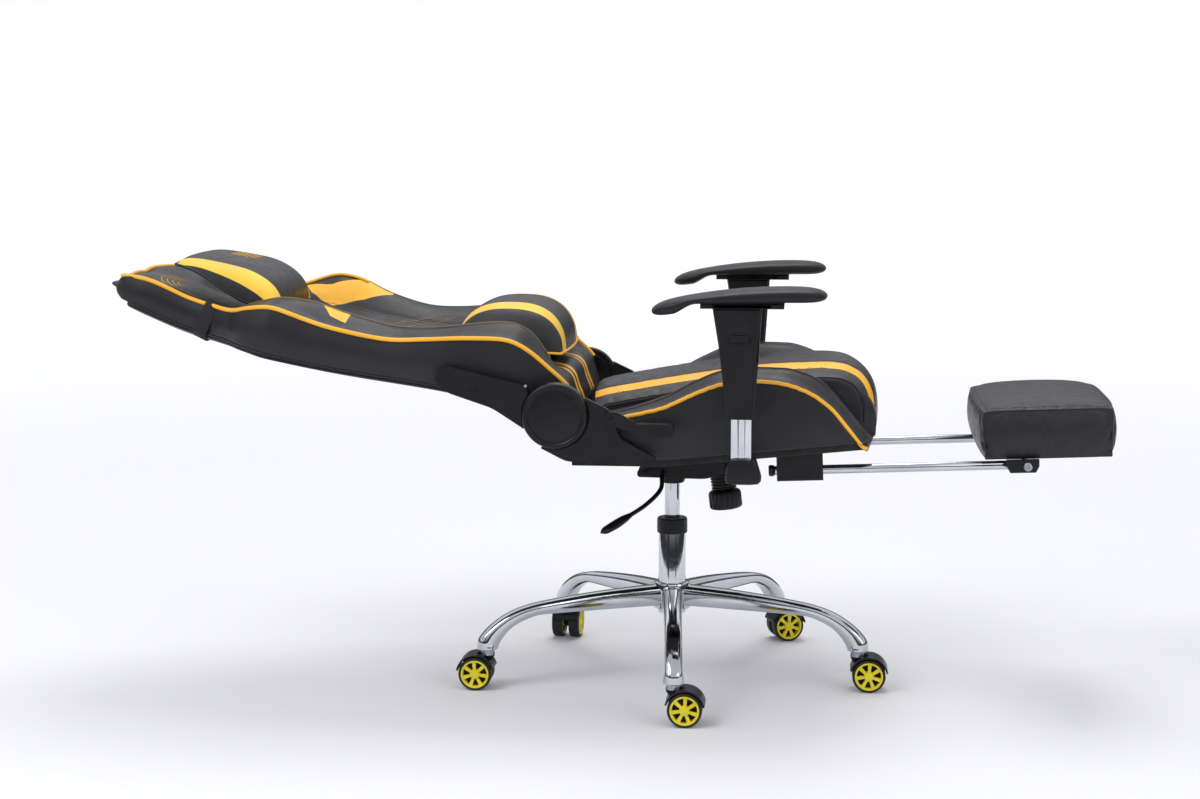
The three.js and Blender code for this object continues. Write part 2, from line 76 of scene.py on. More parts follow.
# ---- numbers shared with the part ----------------------------------------------------------------
STEM_RADIUS, STAR_TURN = 352, 4
CASTERS = {"front": (-90, 0), "front_right": (-18, 0), "back_right": (54, 20), "back_left": (126, 84),
           "front_left": (-162, 180)}
WHEEL_RADIUS, WHEEL_TRAIL, WHEEL_INNER, WHEEL_OUTER = 30, 20, 6.3, 27.5
HINGE = np.array([-185.0, 521.0])
COVER_FACE = 275
ARM_Y = 318
ROD_Z, ROD_SLOPE, ROD_Y, FLIP_X, FOOT_HALF = 404, 0.0393, 165, 628, 186
KNOB_LEAN = -0.115
BACK_HEAD, BACK_FOOT = -1000, -150
SEAT_REAR, SEAT_FRONT = -165, 372
FOOT_CENTRE, FOOT_LONG, FOOT_BASE, FOOT_TOP = 665, 117, 11.6, 98
ARM_FACE = ARM_Y + 19
BUTTON_X, BUTTON_Z = (115.6, 148.4), (654.6, 667.4)

# ---- numbers of the looks ------------------------------------------------------------------------
CLOTH_FRAMES = 20
SEAT_STRIPE, SEAT_STRIPE_HALF = 95, 20
BACK_STRIPES = (68, 104)
PILLOW_STRIPE, PILLOW_STRIPE_HALF = 128, 15
LUMBAR_STRIPE, LUMBAR_STRIPE_HALF = 97, 17
STRAP_LEAN = 0.46


# ---- curves and numbers --------------------------------------------------------------------------
def smooth(stops):
    """A smooth line through [at, value] stops that never overshoots them."""
    x, y = np.array(stops, float).T
    d = np.diff(y) / np.diff(x)
    m = np.concatenate([d[:1], np.zeros(len(x) - 2), d[-1:]])
    same = d[:-1] * d[1:] > 0
    m[1:-1][same] = 2 * d[:-1][same] * d[1:][same] / (d[:-1] + d[1:])[same]

    def at(t):
        t = np.clip(np.asarray(t, float), x[0], x[-1])
        i = np.clip(np.searchsorted(x, t, side="right") - 1, 0, len(x) - 2)
        h = x[i + 1] - x[i]
        s = (t - x[i]) / h
        r = 1 - s
        here = (1 + 2 * s) * y[i] + s * h * m[i]
        there = (3 - 2 * s) * y[i + 1] - r * h * m[i + 1]
        return r * r * here + s * s * there

    return at


def ease(t, a, b):
    """A soft step from 0 at a to 1 at b."""
    s = np.clip((np.asarray(t, float) - a) / (b - a), 0, 1)
    return s * s * (3 - 2 * s)


def mix(a, b, t):
    """The value a share t of the way from a to b."""
    return a + (b - a) * t


def bump(t, centre, width):
    """A bell of height 1 at centre."""
    return np.exp(-(((np.asarray(t, float) - centre) / width) ** 2))


def inside(polygon, x, y):
    """Distance inside a flat polygon, below zero outside it."""
    p = np.asarray(polygon, float)
    nearest = np.full(np.shape(x), 1e9)
    parity = np.zeros(np.shape(x), bool)
    for (ax, ay), (bx, by) in zip(p, np.roll(p, -1, 0)):
        t = np.clip(((x - ax) * (bx - ax) + (y - ay) * (by - ay)) / ((bx - ax) ** 2 + (by - ay) ** 2), 0, 1)
        nearest = np.minimum(nearest, np.hypot(x - ax - t * (bx - ax), y - ay - t * (by - ay)))
        parity ^= ((ay > y) != (by > y)) & (x < (bx - ax) * (y - ay) / (by - ay if by != ay else 1e-9) + ax)
    return np.where(parity, nearest, -nearest)


def even(path, times=6):
    """A path with its small kinks smoothed away; its ends stay."""
    p = np.array(path, float)
    for _ in range(times):
        p[1:-1] = 0.5 * p[1:-1] + 0.25 * (p[:-2] + p[2:])
    return p


def resample(points, step, closed=False):
    """A smooth line through the points, with its own points a step apart."""
    p = np.asarray(points, float)
    p = np.vstack([p, p[:1]]) if closed else p
    ends = np.vstack([p[-2] if closed else 2 * p[0] - p[1], p, p[1] if closed else 2 * p[-1] - p[-2]])
    fine = []
    for i in range(len(p) - 1):
        a, b, c, d = ends[i:i + 4]
        t = np.linspace(0, 1, 12, endpoint=False)[:, None]
        fine.append(0.5 * (2 * b + (c - a) * t + (2 * a - 5 * b + 4 * c - d) * t ** 2
                           + (3 * b - a - 3 * c + d) * t ** 3))
    fine = np.vstack(fine + [p[-1:]])
    along = np.concatenate([[0], np.cumsum(np.linalg.norm(np.diff(fine, axis=0), axis=1))])
    count = max(3, int(round(along[-1] / step)) + 1)
    at = np.linspace(0, along[-1], count)[: count - 1 if closed else count]
    return np.stack([np.interp(at, along, fine[:, k]) for k in range(fine.shape[1])], 1)


def rounded(outline, radius, steps=4):
    """A flat outline with its corners rounded."""
    p = np.asarray(outline, float)
    out = []
    for i in range(len(p)):
        a, b, c = p[i - 1], p[i], p[(i + 1) % len(p)]
        reach = min(radius, 0.45 * np.linalg.norm(a - b), 0.45 * np.linalg.norm(c - b))
        start = b + (a - b) / np.linalg.norm(a - b) * reach
        end = b + (c - b) / np.linalg.norm(c - b) * reach
        for t in np.linspace(0, 1, steps + 1):
            out.append((1 - t) ** 2 * start + 2 * t * (1 - t) * b + t * t * end)
    return np.array(out)


def box_outline(x0, x1, y0, y1, radius, steps=4):
    return rounded([[x0, y0], [x1, y0], [x1, y1], [x0, y1]], radius, steps)


def around(steps):
    """Angles evenly round a circle."""
    return np.linspace(0, 2 * math.pi, steps, endpoint=False)


def arc(centre, radius, start, end, steps):
    a = np.radians(np.linspace(start, end, steps + 1))
    return np.stack([centre[0] + radius * np.cos(a), centre[1] + radius * np.sin(a)], 1)


def turned(points, axis, angle):
    """Points turned about X, Y or Z, by the right hand."""
    a, b = {"x": (1, 2), "y": (2, 0), "z": (0, 1)}[axis]
    p = np.array(points, float)
    c, s = math.cos(angle), math.sin(angle)
    p[..., a], p[..., b] = p[..., a] * c - p[..., b] * s, p[..., a] * s + p[..., b] * c
    return p


def moved(shape, x, y, z):
    return shape[0] + [x, y, z], shape[1]


def sideways(shape, side, x, y, z):
    """A lathed shape laid along Y, its top towards side."""
    return turned(shape[0], "x", -side * math.pi / 2) + [x, y, z], shape[1]


# ---- shapes: each gives (points, faces) ----------------------------------------------------------
def box_grid(nu, nv, nw):
    """A cube's surface from -1 to 1 as an even grid, with every point there once."""
    counts, index, faces = (nu, nv, nw), {}, []
    for axis in range(3):
        a, b = (axis + 1) % 3, (axis + 2) % 3
        for end in (0, counts[axis]):
            for i in range(counts[a]):
                for j in range(counts[b]):
                    quad = []
                    for di, dj in ((0, 0), (1, 0), (1, 1), (0, 1)):
                        key = [0, 0, 0]
                        key[axis], key[a], key[b] = end, i + di, j + dj
                        quad.append(index.setdefault(tuple(key), len(index)))
                    faces.append(quad if end else quad[::-1])
    return 2 * np.array(list(index), float) / counts - 1, faces


def loft(rings, closed=False):
    """Rings of points joined by faces, capped at both ends unless closed."""
    rings = np.asarray(rings, float)
    n, m, _ = rings.shape
    faces = [[i * m + j, i * m + (j + 1) % m, (i + 1) % n * m + (j + 1) % m, (i + 1) % n * m + j]
             for i in range(n if closed else n - 1) for j in range(m)]
    if not closed:
        faces += [list(range(m))[::-1], list(range((n - 1) * m, n * m))]
    return rings.reshape(-1, 3), faces


def lathe(outline, steps=48, closed=False, flute=None):
    """(radius, height) points turned about Z. flute(angle, radius, height) may change the radius."""
    a = around(steps)
    rings = []
    for r, h in outline:
        radius = np.full(steps, float(r)) if flute is None else flute(a, r, h)
        rings.append(np.stack([radius * np.cos(a), radius * np.sin(a), np.full(steps, float(h))], 1))
    return loft(rings, closed)


def tube(path, radius, sides=10, closed=False, wide=1.0):
    """A bar along path. radius is a number or one per point; wide stretches the section sideways."""
    p = np.asarray(path, float)
    t = np.roll(p, -1, 0) - np.roll(p, 1, 0) if closed else np.gradient(p, axis=0)
    t /= np.linalg.norm(t, axis=1)[:, None]
    normal = np.array([0, 0, 1.0] if abs(t[0][2]) < 0.9 else [1.0, 0, 0])
    r = np.broadcast_to(radius, len(p))
    a = around(sides)
    rings = []
    for i in range(len(p)):
        normal = normal - t[i] * (normal @ t[i])
        normal /= np.linalg.norm(normal)
        side = np.cross(t[i], normal)
        rings.append(p[i] + r[i] * (np.sin(a)[:, None] * normal + wide * np.cos(a)[:, None] * side))
    return loft(rings, closed)


def band(path, wide, thick, across):
    """A flat strap along path, wide along the direction across."""
    p = np.asarray(path, float)
    t = np.gradient(p, axis=0)
    t /= np.linalg.norm(t, axis=1)[:, None]
    side = np.array(across, float)
    out = np.cross(t, side)
    out /= np.linalg.norm(out, axis=1)[:, None]
    corners = box_outline(-wide / 2, wide / 2, -thick / 2, thick / 2, thick * 0.4, 2)
    return loft([p[i] + corners[:, :1] * side + corners[:, 1:] * out[i] for i in range(len(p))])


def plate(outline, y0, y1):
    """An outline in (x, z), thick along Y."""
    o = np.asarray(outline, float)
    return loft([np.stack([o[:, 0], np.full(len(o), float(y)), o[:, 1]], 1) for y in (y0, y1)])


def pin(radius, y0, y1, x, z, chamfer=0.8, steps=28):
    """A round pin along Y with chamfered ends."""
    y0, y1 = min(y0, y1), max(y0, y1)
    outline = [(radius - chamfer, y0), (radius, y0 + chamfer), (radius, y1 - chamfer), (radius - chamfer, y1)]
    return sideways(lathe(outline, steps), 1, x, 0, z)


def joined(*shapes):
    """Several shapes as one."""
    points, faces, count = [], [], 0
    for p, f in shapes:
        points.append(p)
        faces += [[i + count for i in face] for face in f]
        count += len(p)
    return np.vstack(points), faces


def stitches(path, pitch=6.0, length=4.2, radius=0.55):
    """A row of threads along path, each dipping into the leather at both ends."""
    p = resample(path, pitch / 2)
    shapes = []
    for i in range(0, len(p) - 1, 2):
        step = p[i + 1] - p[i]
        step = step / max(np.linalg.norm(step), 1e-6) * length / 2
        line = np.array([p[i] - step, p[i] - step * 0.6, p[i] + step * 0.6, p[i] + step])
        shapes.append(tube(line, np.array([0.3, 1, 1, 0.3]) * radius, 6))
    return joined(*shapes)


# ---- pieces --------------------------------------------------------------------------------------
def piece(name, shape, look, body, replaces=(), bevel=0.0, levels=0, fields=None, angle=38):
    """A mesh object from (points, faces) in mm, riding on a body."""
    points, faces = shape
    mesh = bpy.data.meshes.new(name)
    mesh.from_pydata(((points + ORIGIN) / 1000).tolist(), [], faces)
    for key, values in (fields or {}).items():
        mesh.attributes.new(key, "FLOAT", "POINT").data.foreach_set("value", np.asarray(values, np.float32))
    bm = bmesh.new()
    bm.from_mesh(mesh)
    bmesh.ops.recalc_face_normals(bm, faces=bm.faces)
    bm.to_mesh(mesh)
    bm.free()
    mesh.shade_smooth()
    if angle and not bevel:
        mesh.set_sharp_from_angle(angle=math.radians(angle))
    obj = bpy.data.objects.new(name, mesh)
    bpy.context.scene.collection.objects.link(obj)
    obj.data.materials.append(look)
    if bevel:
        add_bevel(obj, bevel)
    if levels:
        subdivide(obj)
    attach(obj, body)
    if replaces:
        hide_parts(*([replaces] if isinstance(replaces, str) else replaces))
    return obj


def subdivide(obj):
    sub = obj.modifiers.new("subdivide", "SUBSURF")
    sub.levels = sub.render_levels = 1


def sewn(name, path, body, look=None, **thread):
    """A row of stitches along path, black unless it is given a look."""
    return piece(name, stitches(path, **thread), look or BLACK_THREAD, body)


def welt(name, path, radius, look, body, sides=8):
    """A sewn-in cord along path."""
    return piece(name, tube(path, radius, sides), look, body)


def add_bevel(obj, width):
    mod = obj.modifiers.new("edges", "BEVEL")
    mod.width, mod.segments, mod.limit_method = width / 1000, 3, "ANGLE"
    mod.angle_limit = math.radians(28)
    mod.harden_normals = True


def keep_node(name, look, width=0.8):
    """A CAD node that stays, with soft edges and a finished material."""
    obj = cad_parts[name]
    obj.data.materials.clear()
    obj.data.materials.append(look)
    if "custom_normal" in obj.data.attributes:
        obj.data.attributes.remove(obj.data.attributes["custom_normal"])
    obj.data.shade_smooth()
    weld = obj.modifiers.new("weld", "WELD")
    weld.merge_threshold = 1e-5
    add_bevel(obj, width)


def surface_of(obj):
    """A finder of the nearest point on a shown piece, in mm."""
    shown = obj.evaluated_get(bpy.context.evaluated_depsgraph_get())
    mesh = shown.to_mesh()
    verts = [v.co.copy() for v in mesh.vertices]
    tree = BVHTree.FromPolygons(verts, [list(p.vertices) for p in mesh.polygons])
    shown.to_mesh_clear()

    def find(points, lift):
        out = []
        for p in np.asarray(points, float):
            spot, normal, _, _ = tree.find_nearest(Vector((p + ORIGIN) / 1000))
            out.append(np.array(spot) * 1000 - ORIGIN + np.array(normal) * lift)
        return np.array(out)

    return find


def puff(obj, pressure, cap, pins, stiff, spare):
    """Inflates a soft piece as cloth, moves each point at most cap mm, and keeps the result."""
    mesh = obj.data
    rest = np.zeros(len(mesh.vertices) * 3)
    mesh.vertices.foreach_get("co", rest)
    rest = rest.reshape(-1, 3)
    cloth = obj.modifiers.new("cloth", "CLOTH")
    s = cloth.settings
    s.use_pressure, s.uniform_pressure_force = True, pressure
    s.effector_weights.gravity = 0
    s.tension_stiffness = s.compression_stiffness = stiff
    s.bending_stiffness, s.mass, s.quality = 0.3, 0.3, 4
    s.shrink_min = -spare
    group = obj.vertex_groups.new(name="seam")
    group.add([int(i) for i in np.flatnonzero(pins)], 1.0, "REPLACE")
    s.vertex_group_mass = "seam"
    s.pin_stiffness = 1.0
    cloth.point_cache.frame_start, cloth.point_cache.frame_end = 1, CLOTH_FRAMES
    for f in range(1, CLOTH_FRAMES + 1):
        bpy.context.scene.frame_set(f)
    shown = obj.evaluated_get(bpy.context.evaluated_depsgraph_get())
    full = np.zeros(len(mesh.vertices) * 3)
    shown.data.vertices.foreach_get("co", full)
    step = full.reshape(-1, 3) - rest
    size = np.linalg.norm(step, axis=1, keepdims=True)
    limit = cap / 1000
    step *= np.where(size > 1e-9, limit * np.tanh(size / limit) / np.maximum(size, 1e-9), 0)
    obj.modifiers.remove(cloth)
    bpy.context.scene.frame_set(1)
    mesh.vertices.foreach_set("co", (rest + step).ravel())
    mesh.update()


# ---- materials -----------------------------------------------------------------------------------
class Look:
    """One procedural material, with short names for the nodes it is made of."""

    def __init__(self, name, **sockets):
        self.mat = bpy.data.materials.new(name)
        self.mat.use_nodes = True
        self.tree = self.mat.node_tree
        self.shader = self.tree.nodes["Principled BSDF"]
        for key, value in sockets.items():
            self.shader.inputs[key.replace("_", " ")].default_value = value
        self.where = self.tree.nodes.new("ShaderNodeTexCoord").outputs["Object"]

    def node(self, kind, out=0, inputs=None, **settings):
        made = self.tree.nodes.new("ShaderNode" + kind)
        for key, value in settings.items():
            setattr(made, key, value)
        for key, value in (inputs or {}).items():
            if isinstance(value, bpy.types.NodeSocket):
                self.tree.links.new(value, made.inputs[key])
            else:
                made.inputs[key].default_value = value
        return made.outputs[out]

    def noise(self, scale, detail=3.0, rough=0.5):
        return self.node("TexNoise", inputs={"Vector": self.where, "Scale": scale, "Detail": detail,
                                             "Roughness": rough})

    def cells(self, scale, feature="F1"):
        return self.node("TexVoronoi", feature=feature, inputs={"Vector": self.where, "Scale": scale})

    def span(self, value, a, b, lo=0.0, hi=1.0):
        return self.node("MapRange", inputs={"Value": value, "From Min": a, "From Max": b, "To Min": lo,
                                             "To Max": hi})

    def sum(self, kind, a, b):
        return self.node("Math", operation=kind, inputs={0: a, 1: b})

    def blend(self, share, a, b):
        made = self.tree.nodes.new("ShaderNodeMix")
        made.data_type = "RGBA"
        for key, value in ((0, share), (6, a), (7, b)):
            if isinstance(value, bpy.types.NodeSocket):
                self.tree.links.new(value, made.inputs[key])
            else:
                made.inputs[key].default_value = value
        return made.outputs[2]

    def field(self, name):
        return self.node("Attribute", out="Fac", attribute_name=name)

    def raised(self, height, distance, strength=1.0, under=None):
        inputs = {"Height": height, "Distance": distance, "Strength": strength}
        if under is not None:
            inputs["Normal"] = under
        return self.node("Bump", inputs=inputs)

    def set(self, **links):
        for key, socket in links.items():
            self.tree.links.new(socket, self.shader.inputs[key.replace("_", " ")])
        return self.mat


def colour(r, g, b):
    """A linear colour from one as seen on screen, 0 to 255."""
    linear = [c / 255 / 12.92 if c <= 10 else ((c / 255 + 0.055) / 1.055) ** 2.4 for c in (r, g, b)]
    return (*linear, 1.0)


def leather(name, dark=(13, 13, 16), light=(23, 23, 28), accent=(236, 172, 36), rough=0.34, grain=1.0):
    """Grained leather, amber where the piece's amber field is above zero."""
    k = Look(name, Specular_IOR_Level=0.45)
    patch = k.span(k.noise(9, 4), 0.35, 0.65)
    base = k.blend(patch, colour(*dark), colour(*light))
    gold = k.blend(patch, colour(*accent), colour(*(min(255, c * 1.1) for c in accent)))
    amber = k.span(k.field("amber"), 0.0, 0.5)
    pores = k.cells(820, "DISTANCE_TO_EDGE")
    pit = k.span(pores, 0.0, 0.12, 0.0, 1.0)
    tint = k.blend(amber, base, gold)
    # Painted shade: the colour goes up to 16 % of the way to near black in the grain's pits, where the bump
    # below sinks the surface.
    pit_shaded = k.blend(k.span(pit, 0, 1, 0.16, 0.0), tint, colour(16, 14, 14))
    wave = k.raised(k.noise(34, 3, 0.55), 0.0016, 0.35 * grain)
    fine = k.raised(pit, 0.00018, 0.55 * grain, wave)
    return k.set(Base_Color=pit_shaded, Roughness=k.span(k.noise(60, 3), 0.3, 0.7, rough - 0.06, rough + 0.07),
                 Normal=fine)


def chrome(name, tone=(205, 207, 212), rough=0.07):
    k = Look(name, Metallic=1.0)
    base = k.blend(k.span(k.noise(14, 3), 0.35, 0.65), colour(*tone), colour(*(c * 0.94 for c in tone)))
    return k.set(Base_Color=base, Roughness=k.span(k.noise(120, 4), 0.35, 0.7, rough * 0.7, rough * 1.7),
                 Normal=k.raised(k.noise(18, 1), 0.0004, 0.05))


def pressed_post(name):
    """Chrome pressed to a slight round across the upright's width."""
    k = Look(name, Metallic=1.0)
    x = k.node("SeparateXYZ", inputs={0: k.where})
    across = k.span(x, 0.2277, 0.2627, 0.0, math.pi)
    round_face = k.raised(k.sum("SINE", across, 0.0), 0.007, 1.0)
    base = k.blend(k.span(k.noise(14, 3), 0.35, 0.65), colour(205, 207, 212), colour(190, 192, 198))
    return k.set(Base_Color=base, Roughness=k.span(k.noise(120, 4), 0.35, 0.7, 0.06, 0.13), Normal=round_face)


def moulded(name, dark=(20, 20, 22), light=(30, 30, 33), rough=0.42, texture=1700, depth=0.00006, metal=0.0):
    """Plastic or powder coat with a fine moulded texture."""
    k = Look(name, Metallic=metal, Specular_IOR_Level=0.32)
    base = k.blend(k.span(k.noise(22, 4), 0.35, 0.65), colour(*dark), colour(*light))
    return k.set(Base_Color=base, Roughness=k.span(k.noise(60, 2), 0.3, 0.7, rough - 0.03, rough + 0.05),
                 Normal=k.raised(k.noise(texture, 1), depth, 0.3))


def woven(name, dark=(14, 14, 16), light=(40, 40, 44), pitch=520):
    """Webbing: ribs across, threads along."""
    k = Look(name, Roughness=0.85)
    parts = k.node("SeparateXYZ", inputs={0: k.where})
    across = parts.node.outputs[1]
    wave_y = k.sum("SINE", k.sum("MULTIPLY", across, pitch * 6.3), 0.0)
    wave_x = k.sum("SINE", k.sum("MULTIPLY", k.sum("ADD", parts.node.outputs[0], parts.node.outputs[2]),
                                 pitch * 6.3), 0.0)
    weave = k.span(k.sum("MULTIPLY", wave_x, wave_y), -1, 1)
    base = k.blend(weave, colour(*dark), colour(*light))
    return k.set(Base_Color=k.blend(k.span(k.noise(200), 0.4, 0.7, 0, 0.3), base, colour(10, 10, 11)),
                 Normal=k.raised(weave, 0.0004, 0.6))


def board(name):
    """Plywood faced in thin black cloth."""
    k = Look(name, Roughness=0.85)
    base = k.blend(k.span(k.noise(30, 5), 0.35, 0.65), colour(26, 24, 23), colour(44, 40, 37))
    return k.set(Base_Color=base, Normal=k.raised(k.cells(1300), 0.0002, 0.5))


LEATHER = leather("black_leather")
PANEL = leather("panel_leather", dark=(13, 13, 16), light=(22, 22, 27), rough=0.42)
# The pillows' leather is the panels' leather with its amber lighter and yellower: painted light from above on
# the pillows' stripes.
PILLOW = leather("pillow_leather", dark=(13, 13, 15), light=(24, 24, 28), accent=(230, 186, 56), rough=0.38)
AMBER = leather("amber_leather", dark=(236, 170, 32), light=(246, 182, 48), rough=0.4, grain=0.6)
EDGE = leather("edge_leather", dark=(92, 78, 56), light=(120, 102, 74), rough=0.4, grain=0.6)
THREAD = moulded("gold_thread", (214, 148, 40), (238, 178, 70), 0.5, 3000, 0.0001)
BLACK_THREAD = moulded("black_thread", (30, 30, 33), (52, 52, 58), 0.6, 3000, 0.0001)
POST = pressed_post("post_chrome")
CHROME = chrome("bright_chrome")
ZINC = chrome("zinc_screw", (170, 176, 190), 0.25)
STEEL = moulded("powder_steel", (11, 11, 13), (18, 18, 21), 0.4, 900, 0.00006, 0.2)
PLASTIC = moulded("black_plastic_moulding", (11, 11, 13), (18, 18, 21), 0.38)
GLOSS = moulded("satin_plastic", (10, 10, 12), (16, 16, 19), 0.34, 1200, 0.00003)
SOFT = moulded("soft_armrest", (14, 14, 17), (22, 22, 26), 0.44, 1400, 0.00006)
HUB = moulded("yellow_wheel", (206, 190, 34), (220, 206, 52), 0.36, 1500, 0.00003)
TYRE = moulded("tyre_rubber", (24, 24, 26), (36, 36, 38), 0.55, 1100, 0.0001)
WEBBING = woven("black_webbing")
BOARD = board("cloth_board")


# ---- star base and casters -----------------------------------------------------------------------
def star_base():
    top = np.array([[8, 172], [120, 166], [200, 158.5], [268, 149], [304, 138.5], [334, 122.5], [357, 104],
                    [370, 86], [371, 73]], float)
    bottom = np.array([[8, 133], [120, 132], [200, 131], [250, 130], [286, 121], [313, 105], [327, 88],
                       [332, 78], [333, 73]], float)
    t = np.linspace(0, 8, 49)
    rail = [np.stack([smooth(np.stack([np.arange(9), line[:, k]], 1))(t) for k in (0, 1)], 1)
            for line in (top, bottom)]
    half = smooth([[0, 20], [1, 18], [2, 16.5], [4, 15.5], [6, 16.5], [8, 18.5]])(t)
    power = smooth([[0, 0.55], [5, 0.62], [8, 0.98]])(t)
    a = around(32)
    rings = []
    for i in range(len(t)):
        c, up = (rail[0][i] + rail[1][i]) / 2, (rail[0][i] - rail[1][i]) / 2
        s = np.sign(np.sin(a)) * np.abs(np.sin(a)) ** power[i]
        k = np.sign(np.cos(a)) * np.abs(np.cos(a)) ** power[i]
        rings.append(np.stack([c[0] + up[0] * s, half[i] * k, c[1] + up[1] * s], 1))
    arm = loft(rings)
    ferrule = lathe([(6, 72.4), (17, 72.4), (18.2, 73.5), (18.2, 78), (17.6, 79.4), (6, 79.4)], 40)
    arm = joined(arm, moved(ferrule, STEM_RADIUS, 0, 0))
    shapes = [(turned(arm[0], "z", math.radians(star + STAR_TURN)), arm[1]) for star, _ in CASTERS.values()]
    hub = lathe([(25.6, 127), (32, 127), (34, 129), (34, 150), (34, 171), (32.5, 175), (30, 176),
                 (25.6, 176)], 64, closed=True)
    piece("star_base_chrome", joined(hub, *shapes), CHROME, "base", "star_base")


def caster(name, star, trail):
    """A twin-wheel caster on the spoke at angle star, its wheels trailing towards trail."""
    inner, outer = WHEEL_INNER, WHEEL_OUTER
    at = math.radians(star + STAR_TURN)
    stem = np.array([STEM_RADIUS * math.cos(at), STEM_RADIUS * math.sin(at), 0])

    def placed(shape):
        return turned(shape[0], "z", math.radians(trail)) + stem, shape[1]

    body = f"caster_{name}"
    axle = np.array([WHEEL_TRAIL, WHEEL_RADIUS])
    web = rounded([[-13, 69], [13, 69], [34, 58], [44, 44], [40, 24], [24, 18], [10, 24], [2, 42],
                   [-13, 58]], 6)
    hood = np.vstack([arc(axle, 35, 10, 165, 26), arc(axle, 31.8, 165, 10, 26)])
    neck = lathe([(0.3, 96), (4.8, 96), (5.5, 95.3), (5.5, 72), (11.5, 72), (13, 70.6), (13, 62),
                  (0.3, 62)], 36)
    fork = joined(plate(hood, -25.8, 25.8), plate(web, -5.6, 5.6))
    piece(f"caster_{name}_hood", placed(fork), GLOSS, body, f"caster_{name}_fork", bevel=1.0)
    piece(f"caster_{name}_stem", placed(joined(neck, pin(4, -24.6, 24.6, *axle))), ZINC, body)
    tread = lathe([(25.6, inner + 0.2), (28.6, inner + 0.2), (29.6, inner + 1), (30, inner + 3),
                   (30, outer - 4), (29.5, outer - 2), (28.2, outer - 0.7), (26.4, outer - 0.3),
                   (25.4, outer - 1), (25.4, inner + 1)], 60, closed=True)
    rim = lathe([(25.5, inner + 0.8), (25.5, outer - 1.2), (24.6, outer - 0.5), (22.4, outer - 0.8),
                 (21.6, outer - 2), (21.6, inner + 0.8)], 60, closed=True)
    boss = lathe([(0.3, outer - 0.6), (5.6, outer - 0.6), (8.2, outer - 1.4), (9, outer - 3),
                  (9, inner + 0.8), (4.2, inner + 0.8), (4.2, outer - 3.4), (0.3, outer - 3.4)], 48)
    wall = lathe([(8.6, inner + 5), (21.9, inner + 5), (21.9, inner + 7), (8.6, inner + 7)], 48, closed=True)
    spokes = []
    for i in range(7):
        bar = plate([[8.3, -2.4], [22.2, -3.4], [22.2, 3.4], [8.3, 2.4]], -2.5, 2.5)
        p = turned(bar[0], "x", math.pi / 2) + [0, 0, outer - 5]
        spokes.append((turned(p, "z", 2 * math.pi * i / 7 + 0.3), bar[1]))
    for mark, side in (("a", 1), ("b", -1)):
        for part, shape, look in (("tyre", tread, TYRE), ("rim", joined(rim, boss, *spokes), HUB),
                                  ("inner", wall, TYRE)):
            p = turned(shape[0], "x", -math.pi / 2) * [1, side, 1]
            done = placed((p + [WHEEL_TRAIL, 0, WHEEL_RADIUS], shape[1]))
            piece(f"wheel_{name}_{mark}_{part}", done, look, f"wheel_{name}_{mark}",
                  f"caster_{name}_wheel_{mark}" if part == "tyre" else ())


# ---- gas lift and mechanism ----------------------------------------------------------------------
def gas_lift():
    outside = [(0.3, 118), (23.5, 118), (25, 119.5), (25, 282), (24.2, 284), (20, 284), (0.3, 284)]
    piece("gas_cylinder_tube", lathe(outside, 72), CHROME, "base", "gas_cylinder")
    ribs = [(25.2, 268), (27.4, 268)]
    for i in range(5):
        z = 269.5 + i * 4.6
        ribs += [(28, z), (28, z + 3), (27.1, z + 3.4), (27.1, z + 4.2)]
    ribs += [(27.6, 293.5), (26, 296), (14.6, 296), (14.6, 285), (25.2, 283)]
    piece("gas_collar", lathe(ribs, 72, closed=True), PLASTIC, "base")
    rod = [(0.3, 250), (13.4, 250), (14, 251), (14, 372), (12.6, 387.5), (0.3, 387.5)]
    piece("gas_piston_rod", lathe(rod, 64), CHROME, "lift", "gas_piston")


def leaning(shape):
    """A shape moved onto the tension knob's axis."""
    return turned(shape[0], "y", KNOB_LEAN) + [92.0, 0, 378.0], shape[1]


